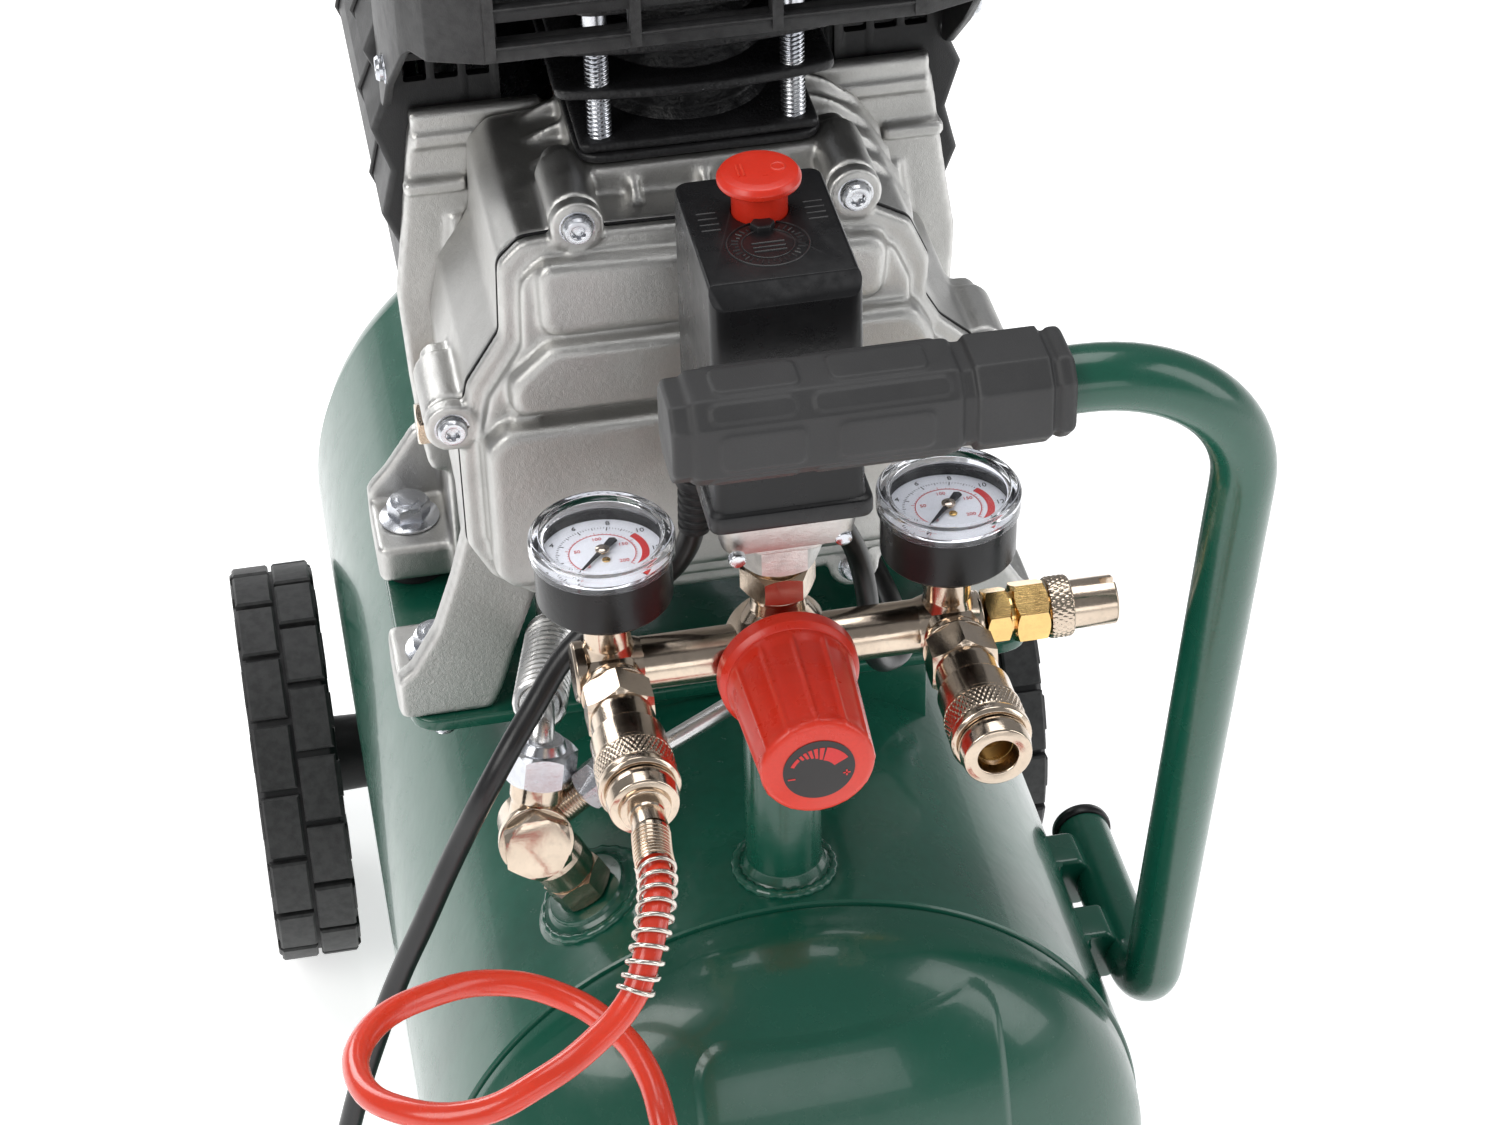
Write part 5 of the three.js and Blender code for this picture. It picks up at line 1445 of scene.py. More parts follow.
def add_hood():
    outer = mirror_outline([
        (62, 612), (80, 604), (88, 590), (89, 526), (96, 510), (90, 496), (96, 482), (91, 466),
        (95, 450), (88, 432), (86, 425), (86, 366), (76, 350)])
    inner = mirror_outline([
        (61, 609), (78, 601), (85, 588), (86, 526), (86, 434), (83, 425), (83, 367), (72, 345)])
    grille = []
    for side in (-1, 1):
        for z in (498, 508, 518):
            for x in (57, 67, 77):
                x0, x1 = sorted((side * x, side * (x + 7.4)))
                grille.append(prism_data("y", fillet(block_outline(x0, x1, z, z + 7.4), 1,
                                                     closed=True), 150, 165))
    rear = []
    for i in range(8):
        z = CRANK_Z - 47 + i * 12
        half = math.sqrt(58 * 58 - (z + 3 - CRANK_Z) ** 2)
        rear.append(prism_data("y", fillet(block_outline(-half, half, z, z + 6), 2, closed=True),
                               325, 340))
    sides = []
    for side in (-1, 1):
        for k in range(6):
            y = 262 + 11 * k
            x0, x1 = sorted((side * 80, side * 95))
            sides.append(prism_data("x", fillet(block_outline(y, y + 5, 385, 425), 2,
                                                closed=True), x0, x1))
    obj = new_object("hood_shell", *prism_data("y", outer, 156.3, 335, 2.2),
                     MAT["shroud_plastic"], None)
    carve(obj, prism_data("y", inner, 160, 332))
    carve(obj, bar_data("y", (0, CRANK_Z), 74, 150, 165),
          prism_data("y", block_outline(-60, 60, 330, 400), 150, 165.5))
    carve(obj, prism_data("y", block_outline(-54, 54, 480, 606), 150, 165))
    carve(obj, *grille)
    carve(obj, *rear, *sides)
    bevel = obj.modifiers.new("edges", "BEVEL")
    bevel.width, bevel.segments, bevel.limit_method = 0.7 * MM, 2, "ANGLE"
    bevel.angle_limit = math.radians(40)
    apply_modifiers(obj)
    finish_mesh(obj, MAT["shroud_plastic"], "base", "motor_hood")
    trim = []
    for y in (185, 300):
        band = [(x * 1.005, z) for x, z in outer]
        trim.append(sweep_data([(x, y, z) for x, z in band], 0.9, 8))
    new_object("hood_seams", *merge_data(*trim), MAT["shroud_plastic"], "base")
    for index, (x, y, z) in enumerate(((-90, 150, 553), (-92, 128, 520), (92, 128, 520))):
        way = (math.copysign(1, x), 0, 0)
        socket_screw(f"hood_screw_{index}", (x, y, z), way, 4.0, MAT["zinc_steel"], "base", 2.4)


def add_windings():
    """Copper end turns of the stator, bound with cord, seen through the hood's openings."""
    def radius_at(turn, h):
        return 46 + 15 * math.sin(math.pi * (h - 166) / 10) ** 0.7 + 0.5 * wave(turn * 96)
    grid_turned("winding_front", (0, 0, CRANK_Z), (0, 1, 0), 166, 175.9, 12, 384, radius_at,
                MAT["copper_winding"], "base")


add_crankcase()
add_cover()
add_end_shield()
add_feet_bolts()
add_oil_plug()
add_cylinder()
add_studs()
add_head()
add_shroud()
add_hood()
add_windings()

# ------------------------------------------------------------ check valve and its tubes
CAP_WAY = Vector((0, -0.96, 0.28))
NUT = Vector((-70.5, 20, 329))
SIDE_NUT = Vector((-53, 15.5, 322))


def add_check_valve():
    cap_back = VALVE - CAP_WAY * 12
    toward_nut, toward_side = (NUT - VALVE).normalized(), (SIDE_NUT - VALVE).normalized()
    foot, tip = VALVE_FOOT, VALVE_WAY
    body = [
        lathe_data(foot, tip, fillet([(0, TANK_R + 13), (9.2, TANK_R + 13, 1), (9.6, 140, 1),
                                      (9.0, 146, 2), (0, 153)], 1), 56),
        lathe_data(cap_back, CAP_WAY, fillet([
            (0, 0), (8.6, 0.6, 2), (10.6, 3.5, 2), (10.6, 17, 0.6), (12.0, 18, 0.6),
            (12.0, 21.2, 0.6), (0, 21.2)], 0.5), 64),
        lathe_data(VALVE, toward_nut, fillet([(0, 0), (8.8, 0), (8.0, 11, 1), (8.6, 13, 0.5),
                                              (8.6, 18.6, 0.5), (0, 18.6)], 0.5), 56),
        lathe_data(VALVE, toward_side, fillet([
            (0, 0), (6.4, 0), (5.2, 11, 1), (0, 14)], 0.5), 48),
    ]
    new_object("check_valve_body", *merge_data(*body), MAT["nickel"], "base", "check_valve")
    hexagon("check_valve_cap", cap_back, CAP_WAY, 20.4, 21, 26.5, MAT["nickel"], "base",
            chamfer=1.3)
    thread("check_valve_thread", foot, tip, 6.8, TANK_R - 4, TANK_R + 6, MAT["brass"], "base")
    hexagon("check_valve_foot", foot, tip, 18, TANK_R + 4.2, TANK_R + 13, MAT["nickel"], "base")
    thread("side_port_thread", VALVE, toward_side, 5.0, 11, 21.6, MAT["nickel"], "base",
           pitch=1.1)


def ribbed_cover_data(start, end, r_low, r_high, pitch, steps=12):
    """A tube wound with one spiral fin."""
    start, end = Vector(start), Vector(end)
    way = (end - start).normalized()
    length = (end - start).length
    u, v = frame_along(way)
    turns = length / pitch
    points, radii = [], []
    count = int(turns * steps)
    for k in range(count + 1):
        a = 2 * math.pi * k / steps
        h = length * k / count
        points.append(start + way * h + (u * math.cos(a) + v * math.sin(a))
                      * (r_low + r_high) / 2)
        radii.append((r_high - r_low) / 2 if 0 < k < count else 0.3)
    coil = sweep_data(points, radii, 8)
    core = sweep_data([start, start.lerp(end, 0.5), end], r_low, 32)
    return merge_data(coil, core)


def add_tubes():
    route = bent([
        (-70, 21.2, 334), (-68.5, 24, 347), (-67, 44, 332), (-57, 88, 324), (-52, 150, 320),
        (-60, 215, 330), (-76, 215, 372), (-76, 215, 560), (-18, 215, 572), (-18, 176.3, 572)],
        (8, 10, 20, 20, 20, 20, 22, 24), 8)
    tube = sweep_data(route, 4.5, 28)
    fins = ribbed_cover_data((-67, 44, 332), (-57, 88, 324), 6.4, 9.0, 3.1, 20)
    new_object("discharge_pipe", *merge_data(tube, fins), MAT["pressed_aluminium"], "base",
               "discharge_tube")
    toward_nut = (NUT - VALVE).normalized()
    new_object("discharge_nut", *merge_data(
        hexagon_data(VALVE, toward_nut, 20.6, 18.9, 30, 1.2),
        lathe_data(VALVE, toward_nut, fillet([(0, 29), (8.8, 29), (6.8, 33, 1), (0, 33.2)], 0.5),
                   48)), MAT["zinc_steel"], "base", smooth=math.radians(25))
    thin = bent([(-54, 15.5, 321.4), (-30, 15, 334), (-8, 20, 342), (11, 24, 356),
                 (11, 22, 429)], (14, 12, 14), 10)
    sweep("unloader_pipe", smooth_route(thin, 60), 3.0, MAT["pressed_aluminium"], "base",
          "unloader_tube", sides=24)
    toward_side = (SIDE_NUT - VALVE).normalized()
    new_object("unloader_nut", *merge_data(
        hexagon_data(VALVE, toward_side, 13.4, 21.8, 30, 0.8),
        lathe_data(VALVE, toward_side, fillet([(0, 29.5), (5.4, 29.5), (4.2, 32.4, 0.6),
                                               (0, 32.6)], 0.4), 40)),
        MAT["zinc_steel"], "base", smooth=math.radians(25))
    loop = smooth_route([
        (19, 16, 428.6), (23, 17, 415), (31, 20, 396), (35, 22, 376), (37, 27, 352),
        (43, 35, 338), (52, 46, 333), (54, 70, 332), (52, 110, 330), (50, 150, 330),
        (51, 178, 338), (52, 200, 360), (52, 204, 380)], 90)
    sweep("motor_cable", loop, 3.5, MAT["lead_rubber"], "base", "motor_lead", sides=24)


# ------------------------------------------------------------ manifold
def add_manifold():
    z = MANIFOLD_Z
    left, right = PORTS["left"], PORTS["right"]
    main = [(0, -60.4, 0), (8.7, -60.4, 0.5), (9.4, -59.6, 0.4), (9.4, -56.6, 0.5),
            (8.2, -56, 0.3), (8.2, -55.6, 0), (8.2, -55.3, 0), (9.6, left - 5.5, 1),
            (10.0, left, 3), (9.6, left + 5.5, 1),
            (8.25, left + 10, 2), (8.25, right - 10, 2), (9.6, right - 5.5, 1), (10.0, right, 3),
            (9.5, right + 5.5, 1), (8.4, right + 9, 1), (8.4, 65.4, 0.6), (0, 66)]
    parts = [lathe_data((0, 0, z), (1, 0, 0), fillet(main, 0.5), 72)]
    for x in (left, right):
        parts.append(lathe_data((x, 0, 0), (0, 0, 1), fillet([
            (0, z), (9.6, z), (9.0, z + 5, 2), (7.2, z + 11, 3), (7.2, 400, 0.6),
            (0, 401)], 1), 64))
        parts.append(lathe_data((x, 0, z), (0, -1, 0), fillet([
            (0, 0), (10, 0), (9.6, 6, 2), (9.0, 9, 1), (9.4, 10.2, 0.4), (9.4, 12.6, 0.5),
            (0, 12.8)], 0.5), 64))
    parts.append(lathe_data((CENTRE_X, 0, z), (0, 1, 0), fillet([
        (0, -47.5), (11.4, -47.5), (11.4, -9.5), (16, -9.3, 1), (16, 7, 2), (12, 11, 2),
        (0, 12)], 0.6), 72))
    parts.append(lathe_data((CENTRE_X, 0, 0), (0, 0, 1), fillet([
        (0, 357.3), (10, 357.3, 0.5), (10, 364, 1), (13, 369, 3), (13, 388, 3), (8.6, 395, 3),
        (8, 400, 1), (8, 414, 0.4), (0, 414)], 0.6), 72))
    parts.append(hexagon_data((CENTRE_X, 0, 0), (0, 0, 1), 20, 402, 411, 1.0))
    new_object("manifold_body", *merge_data(*parts), MAT["nickel"], "base", "manifold",
               math.radians(30))
    for k, zz in enumerate((399.4, 412.0)):
        lathe(f"manifold_collar_{k}", (CENTRE_X, 0, zz), (0, 0, 1), [
            (7.5, 0), (8.9, 0, 0.4), (8.9, 1.8, 0.4), (7.5, 1.8), (7.5, 0)],
            MAT["nickel"], "base")


def add_regulator_knob():
    """A tapered knob with shallow flutes between thin ribs, a flange, and a round face label."""
    face = KNOB_FACE_Y
    ribs = 12

    def radius_at(turn, h):
        y = -h
        if y > -19.5:
            return 19.6
        t = (y + 19.5) / (face + 19.5)
        r = 19.6 + (17.3 - 19.6) * t
        fade = min(1.0, (y - face) / 5.0, (-19.5 - y) / 3.0)
        groove = 1 - math.exp(-(wave(turn * ribs) / 0.16) ** 2)
        r -= max(0.0, fade) * (0.75 - 0.75 * (1 - groove)) * 0.85
        edge = (face + 2.6 - y) / 2.6
        if edge > 0:
            r -= 2.6 * (1 - math.sqrt(max(0.0, 1 - edge * edge)))
        return r
    at = (CENTRE_X, 0, MANIFOLD_Z)
    grid_turned("knob_grip", at, (0, -1, 0), 17.2, -face, 70, 288, radius_at,
                MAT["red_plastic"], "regulator_knob", "regulator_knob")
    lathe("knob_flange", at, (0, -1, 0), [
        (12.2, 10.4), (20.4, 10.4, 0.6), (21.6, 12, 0.8), (21.4, 16.2, 1), (19.8, 18, 1),
        (12.2, 18), (12.2, 10.4)], MAT["red_plastic"], "regulator_knob", segments=96)
    lathe("knob_label", at, (0, -1, 0), [
        (0, -face + 0.02), (10.6, -face + 0.02), (10.8, -face + 0.3, 0.1), (0, -face + 0.34)],
        MAT["label_black"], "regulator_knob", segments=72, radius=0.05)
    marks = []
    def sector(a0, a1, r0, r1):
        count = max(2, int((a1 - a0) / 0.05))
        arc = [a0 + (a1 - a0) * k / count for k in range(count + 1)]
        outline = [(CENTRE_X + r1 * math.cos(a), MANIFOLD_Z - 1.6 + r1 * math.sin(a)) for a in arc]
        outline += [(CENTRE_X + r0 * math.cos(a), MANIFOLD_Z - 1.6 + r0 * math.sin(a))
                    for a in reversed(arc)]
        return prism_data("y", outline, face - 0.42, face - 0.30)
    start, stop = math.radians(155), math.radians(30)
    widths = (0.38, 0.10, 0.11, 0.12, 0.13, 0.16)
    a = start
    for k, width in enumerate(widths):
        inner = 8.7 - 0.5 - 0.55 * k
        marks.append(sector(a - width, a, inner, 9.3 + 0.1 * k))
        a -= width + 0.065
    marks.append(sector(stop, a, 5.2, 10.0))
    for x, bars in ((-8.2, ((2.2, 0.45),)), (8.2, ((2.2, 0.45), (0.45, 2.2)))):
        for w, h in bars:
            marks.append(prism_data("y", block_outline(
                CENTRE_X + x - w / 2, CENTRE_X + x + w / 2, MANIFOLD_Z - 2.4 - h / 2,
                MANIFOLD_Z - 2.4 + h / 2), face - 0.42, face - 0.30))
    new_object("knob_scale", *merge_data(*marks), MAT["dial_red"], "regulator_knob")


# ------------------------------------------------------------ gauges
DIAL_Z = GAUGE_TOP - 9.4
GAUGE_ZERO, GAUGE_SPAN = math.radians(230), math.radians(270)
GAUGE_FULL = 14


def dial_angle(value):
    return GAUGE_ZERO - GAUGE_SPAN * value / GAUGE_FULL


def dial_arc(x, value0, value1, r0, r1, lift):
    count = max(2, int(abs(value1 - value0) * 6))
    arc = [dial_angle(value0 + (value1 - value0) * k / count) for k in range(count + 1)]
    outline = [(x + r1 * math.cos(a), r1 * math.sin(a)) for a in arc]
    outline += [(x + r0 * math.cos(a), r0 * math.sin(a)) for a in reversed(arc)]
    return prism_data("z", outline, DIAL_Z + 0.02, DIAL_Z + lift)


def dial_tick(x, value, r0, r1, width, lift):
    a = dial_angle(value)
    c, s = math.cos(a), math.sin(a)
    corners = [(r0, -width), (r1, -width), (r1, width), (r0, width)]
    outline = [(x + c * r - s * w / 2, s * r + c * w / 2) for r, w in corners]
    return prism_data("z", outline, DIAL_Z + 0.02, DIAL_Z + lift)


def numbers(name, x, labels, r, height, material):
    """Upright figures round a dial, as one mesh."""
    merged = bmesh.new()
    for text, value in labels:
        curve = bpy.data.curves.new(name, "FONT")
        curve.body = text
        curve.size = height * MM
        curve.align_x, curve.align_y = "CENTER", "CENTER"
        curve.extrude = 0.04 * MM
        temp = bpy.data.objects.new(name, curve)
        bpy.context.scene.collection.objects.link(temp)
        graph = bpy.context.evaluated_depsgraph_get()
        mesh = bpy.data.meshes.new_from_object(temp.evaluated_get(graph))
        a = dial_angle(value)
        spot = place(x + r * math.cos(a), r * math.sin(a), DIAL_Z + 0.12)
        mesh.transform(Matrix.Translation(spot))
        merged.from_mesh(mesh)
        bpy.data.objects.remove(temp)
        bpy.data.curves.remove(curve)
        bpy.data.meshes.remove(mesh)
    mesh = bpy.data.meshes.new(name)
    merged.to_mesh(mesh)
    merged.free()
    obj = bpy.data.objects.new(name, mesh)
    bpy.context.scene.collection.objects.link(obj)
    return finish_mesh(obj, material, "base")


def add_gauge(side):
    x = PORTS[side]
    top = GAUGE_TOP
    base = span(f"gauge_case_{side}")[0].z
    cup = [(0, base + 4.9), (18.4, base + 4.9, 1.2), (20.5, base + 7, 1), (20.5, top - 6, 0.3),
           (19.3, top - 6, 0.2), (19.3, DIAL_Z - 0.6, 0), (0, DIAL_Z - 0.6)]
    parts = [lathe_data((x, 0, 0), (0, 0, 1), fillet(cup, 0.4), 96),
             lathe_data((x, 0, 0), (0, 0, 1), [(0, base), (5.5, base), (5.5, base + 6),
                                               (0, base + 6)], 40)]
    new_object(f"gauge_cup_{side}", *merge_data(*parts), MAT["black_plastic"], "base",
               f"gauge_case_{side}")
    lathe(f"gauge_dial_{side}", (x, 0, 0), (0, 0, 1), [
        (0, DIAL_Z - 0.6), (19.2, DIAL_Z - 0.6), (19.2, DIAL_Z, 0.1), (0, DIAL_Z)],
        MAT["dial_white"], "base", segments=96, radius=0.05)
    black = [dial_tick(x, v, 12.6, 14.4, 0.32, 0.1) for v in range(0, GAUGE_FULL + 1, 2)]
    black += [dial_tick(x, v, 13.2, 14.4, 0.22, 0.1) for v in range(1, GAUGE_FULL, 2)]
    black += [dial_tick(x, v / 5, 13.7, 14.4, 0.14, 0.1) for v in range(0, GAUGE_FULL * 5 + 1)]
    new_object(f"dial_scale_{side}", *merge_data(*black), MAT["dial_black"], "base")
    red = [dial_arc(x, 10, 14, 12.2, 14.5, 0.14), dial_arc(x, 0, 14, 10.2, 10.45, 0.1)]
    red += [dial_tick(x, v * 14 / 40, 10.4, 11.6 if v % 10 == 0 else 10.9, 0.16, 0.1)
            for v in range(0, 41)]
    new_object(f"dial_inner_scale_{side}", *merge_data(*red), MAT["dial_red"], "base")
    numbers(f"dial_numbers_{side}", x, [(str(v), v) for v in range(0, 15, 2)], 16.6, 3.0,
            MAT["dial_black"])
    numbers(f"dial_inner_numbers_{side}", x, [(str(v), v * 14 / 200) for v in
                                              (0, 50, 100, 150, 200)], 7.9, 2.1,
            MAT["dial_red"])
    lean = GAUGE_ZERO - math.pi / 2
    c, s = math.cos(lean), math.sin(lean)
    needle = fillet([(-0.2, 13.4), (0.2, 13.4), (0.9, 1), (1.5, -6.5), (0, -7.4), (-1.5, -6.5),
                     (-0.9, 1)], 0.3, closed=True)
    outline = [(x + c * a - s * b, s * a + c * b) for a, b in needle]
    needle_mesh = prism_data("z", outline, DIAL_Z + 1.3, DIAL_Z + 1.8, 0.12)
    new_object(f"gauge_needle_{side}", *needle_mesh, MAT["dial_black"], f"gauge_pointer_{side}",
               f"gauge_pointer_{side}")
    lathe(f"gauge_hub_{side}", (x, 0, DIAL_Z), (0, 0, 1), [
        (0, 0.4), (1.3, 0.4), (1.3, 1.2), (2.1, 1.3, 0.3), (2.3, 2.4, 0.6), (1.0, 2.8), (0, 2.9)],
        MAT["nickel"], f"gauge_pointer_{side}", segments=40, radius=0.2)
    lathe(f"dial_screw_{side}", (x + 0.6, -3.8, DIAL_Z), (0, 0, 1), [
        (0, 0.02), (1.3, 0.02), (1.3, 0.6, 0.2), (0, 0.75)], MAT["brass"], "base", segments=32)
    lens = [(0, top - 3.1), (18.6, top - 3.1, 0.3), (18.6, top - 5.2, 0.2),
            (20.75, top - 5.2, 0.2), (20.75, top - 7, 0.3), (21.75, top - 7, 0.8),
            (21.75, top - 1.4, 1.0), (20.6, top, 0.9), (18.6, top - 0.3, 0.8),
            (17.6, top - 1.7, 0.9), (0, top - 1.7)]
    lathe(f"gauge_glass_{side}", (x, 0, 0), (0, 0, 1), lens, MAT["clear_lens"], "base",
          f"gauge_lens_{side}", segments=120, radius=0.4)


# ------------------------------------------------------------ pressure switch
SWITCH_X = 2.0


def loft_data(rings):
    """Outlines of equal point count at different heights, joined into one body."""
    count = len(rings[0][0])
    verts, faces = [], []
    for outline, z in rings:
        verts += [(x, y, z) for x, y in outline]
    for layer in range(len(rings) - 1):
        base = layer * count
        for i in range(count):
            j = (i + 1) % count
            faces.append([base + i, base + j, base + count + j, base + count + i])
    faces.append(list(range(count)))
    faces.append(list(range(len(verts) - count, len(verts))))
    return verts, faces


def add_switch():
    bottom, top = span("switch_cover")[0].z, 528.0
    sizes = [(45.4, 61.4, bottom), (47.2, 63.4, bottom + 0.5), (48, 64, bottom + 1.5),
             (48, 64, bottom + 5.0), (47.6, 63.6, bottom + 5.9), (46.6, 62.6, bottom + 6.3),
             (44.4, 60.8, bottom + 6.6), (43.9, 60.4, bottom + 7.6), (43.2, 60.1, bottom + 30),
             (43, 60, top - 2.2), (42.5, 59.6, top - 1.0), (41.4, 58.6, top - 0.3),
             (39.8, 57.0, top)]
    rings = [(rounded(w, d, 4.0, SWITCH_X, 0), z) for w, d, z in sizes]
    cover = new_object("switch_housing", *loft_data(rings), MAT["black_plastic"], None)
    wedge = prism_data("x", [(-42, 521.5), (-30.2, 521.5), (-23.6, top + 3), (-42, top + 3)],
                       -40, 40)
    carve(cover, wedge, bar_data("z", (SWITCH_X, 10), 8.4, 508, 540))
    carve(cover, prism_data("z", rounded(38, 55, 4, SWITCH_X, 0), bottom - 4, top - 8))
    bevel = cover.modifiers.new("edges", "BEVEL")
    bevel.width, bevel.segments, bevel.limit_method = 0.8 * MM, 3, "ANGLE"
    bevel.angle_limit = math.radians(25)
    apply_modifiers(cover)
    finish_mesh(cover, MAT["black_plastic"], "base", "switch_cover")
    relief = []
    cx, cy = SWITCH_X - 1, -8.0
    for r, thick in ((11.6, 0.28), (7.4, 0.22)):
        loop = [(cx + r * math.cos(a), cy + r * math.sin(a), top + 0.05)
                for a in (2 * math.pi * k / 72 for k in range(73))]
        relief.append(sweep_data(loop, thick, 8, cap=False))
    for k in range(36):
        a = 2 * math.pi * k / 36
        inner, outer = (8.4, 10.4) if k % 3 else (8.4, 9.4)
        relief.append(sweep_data([(cx + inner * math.cos(a), cy + inner * math.sin(a), top),
                                  (cx + outer * math.cos(a), cy + outer * math.sin(a), top)],
                                 0.24, 6))
    for y in (-2.6, -0.6, 1.6):
        relief.append(sweep_data([(cx - 4.6, cy + y - 1, top), (cx + 4.6, cy + y - 1, top)],
                                 0.3, 8))
    for side in (-1, 1):
        for k in range(4):
            y = 2 + 3.0 * k
            relief.append(sweep_data([(SWITCH_X + side * 12.5, y, top),
                                      (SWITCH_X + side * 18, y, top)], 0.26, 8))
    bump = [(cx + 3.6 * math.cos(a), 0.6 + 3.2 * math.sin(a))
            for a in (math.pi / 3 * k for k in range(6))]
    relief.append(prism_data("z", fillet(bump, 0.8, closed=True), top - 0.5, top + 1.9, 0.5))
    new_object("switch_relief", *merge_data(*relief), MAT["black_plastic"], "base")

    base_sizes = [(36, 48, 434.1), (38, 50, 434.5), (39.5, 52, 437), (41.6, 55.4, 445.6),
                  (41.6, 55.4, 446.7)]
    base = loft_data([(rounded(w, d, 6.0, SWITCH_X, 0), z) for w, d, z in base_sizes])
    step = prism_data("z", rounded(24, 40, 6, SWITCH_X + 1, 0), 429, 435, 0.8)
    nut = hexagon_data((CENTRE_X, 0, 0), (0, 0, 1), 24, 414.4, 430, 1.2)
    new_object("switch_foot", *merge_data(base, step, nut), MAT["cast_aluminium"], "base",
               "switch_base", math.radians(25))
    for side in (-1, 1):
        lathe(f"switch_terminal_{'left' if side < 0 else 'right'}",
              (SWITCH_X + side * 16, -6 + side * 2, 440), (0, -1, -0.2), [
                  (0, 20), (2.6, 20, 0.3), (2.6, 22.4, 0.8), (0, 22.8)],
              MAT["zinc_steel"], "base")
    x, y = SWITCH_X, 10
    lathe("switch_button", (x, y, 0), (0, 0, 1), [
        (0, 512), (7.6, 512), (8.0, 520, 1), (8.0, 535.4, 1.2), (9.4, 536.6, 1),
        (11.9, 537.6, 0.7),
        (12.0, 539.2, 0.8), (11.0, 540.8, 1.2), (8.5, 541.2, 2), (0, 541.5)],
        MAT["red_plastic"], "switch_knob", "switch_knob", segments=96)
    bars = [sweep_data([(x + sx, y - 3.2, 541.35), (x + sx, y + 3.2, 541.35)], 0.35, 8)
            for sx in (-6, -4.6)]
    ring = [(x + 5.4 + 1.9 * math.cos(a), y + 1.9 * math.sin(a), 541.3)
            for a in (2 * math.pi * k / 32 for k in range(33))]
    bars.append(sweep_data(ring, 0.35, 8, cap=False))
    new_object("switch_button_marks", *merge_data(*bars), MAT["red_plastic"], "switch_knob")


# ------------------------------------------------------------ safety valve and quick couplings
def add_safety_valve():
    at, way = (0, 0, MANIFOLD_Z), (1, 0, 0)
    parts = [hexagon_data(at, way, 15.4, 66.4, 74.0, 0.9),
             lathe_data(at, way, fillet([
                 (0, 73), (6.4, 73, 0.5), (6.4, 76, 0.5), (0, 76)], 0.3), 48),
             hexagon_data(at, way, 17.2, 75.4, 85.8, 0.9),
             lathe_data(at, way, [(0, 85), (5, 85), (5, 100), (0, 100)], 32)]
    new_object("safety_valve_hexes", *merge_data(*parts), MAT["brass"], "base",
               "safety_valve_body", math.radians(25))
    knurled("safety_valve_collar", at, way, 9.7, 86.3, 93.4, MAT["nickel"],
            "safety_valve_cap", count=34, depth=0.5)
    cap = lathe("safety_valve_tube", at, way, [
        (5.4, 93), (7.7, 93, 0.3), (7.7, 107.2, 0.5), (7.3, 107.7, 0.2), (5.4, 107.7, 0.2),
        (5.4, 93)], MAT["nickel"], None, segments=72)
    carve(cap, prism_data("x", block_outline(-1.3, 1.3, 365, 395), 103.0, 112))
    finish_mesh(cap, MAT["nickel"], "safety_valve_cap", "safety_valve_cap")


def add_coupling(side):
    x = PORTS[side]
    at, way = (x, 0, MANIFOLD_Z), (0, -1, 0)
    shell = [(5.6, 24), (9.6, 24, 0.5), (9.8, 27, 0.5), (9.8, 34.6, 0), (9.8, 58.8, 0.3),
             (10.6, 59.2, 0.4), (10.8, 61.6, 0.5), (10.2, 65.4, 0.8), (8.4, 66, 0.6),
             (6.2, 65.4, 0.6), (5.6, 62, 0.8), (5.6, 24)]
    new_object(f"coupling_shell_{side}", *merge_data(
        lathe_data(at, way, fillet(shell, 0.4), 80),
        hexagon_data(at, way, 20, 13.3, 24.6, 1.2)), MAT["nickel"], "base",
        f"coupling_body_{side}", math.radians(25))
    lathe(f"coupling_ring_{side}", at, way, [
        (9.2, 12.5), (10.6, 12.5, 0.4), (10.6, 13.6, 0.3), (9.2, 13.6), (9.2, 12.5)],
        MAT["nickel"], "base", segments=64)
    lathe(f"coupling_bore_{side}", at, way, [
        (0, 42), (3.2, 42), (3.4, 44, 0.4), (5.5, 45, 0.5), (5.5, 60), (5.7, 60), (5.7, 40),
        (0, 40)],
        MAT["dark_brass"], "base", segments=56)
    body = f"coupling_sleeve_{side}"
    knurled(f"sleeve_knurl_{side}", at, way, 12.1, 46.0, 54.2, MAT["nickel"], body, count=46)
    lathe(f"sleeve_{side}", at, way, [
        (10.15, 35), (11.3, 35, 0.4), (11.3, 44.4, 0.4), (11.9, 45.2, 0.3), (11.9, 46.4, 0),
        (11.3, 46.6, 0), (11.3, 54.0, 0), (11.9, 54.2, 0.2), (12.2, 55.2, 0.5), (12.2, 57.2, 0.8),
        (11.3, 58.1, 0.4), (10.15, 58.1), (10.15, 35)], MAT["nickel"], body, body,
        segments=80, radius=0.3)


def guard_route(low, high, count):
    path = smooth_route(HOSE_ROUTE[:7], 120)
    lengths = [0.0]
    for a, b in zip(path, path[1:]):
        lengths.append(lengths[-1] + (b - a).length)
    out = []
    for k in range(count + 1):
        target = low + (high - low) * k / count
        i = max(0, min(len(path) - 2, next((n for n, s in enumerate(lengths) if s > target),
                                           len(path) - 1) - 1))
        t = (target - lengths[i]) / (lengths[i + 1] - lengths[i])
        out.append(path[i].lerp(path[i + 1], t))
    return out


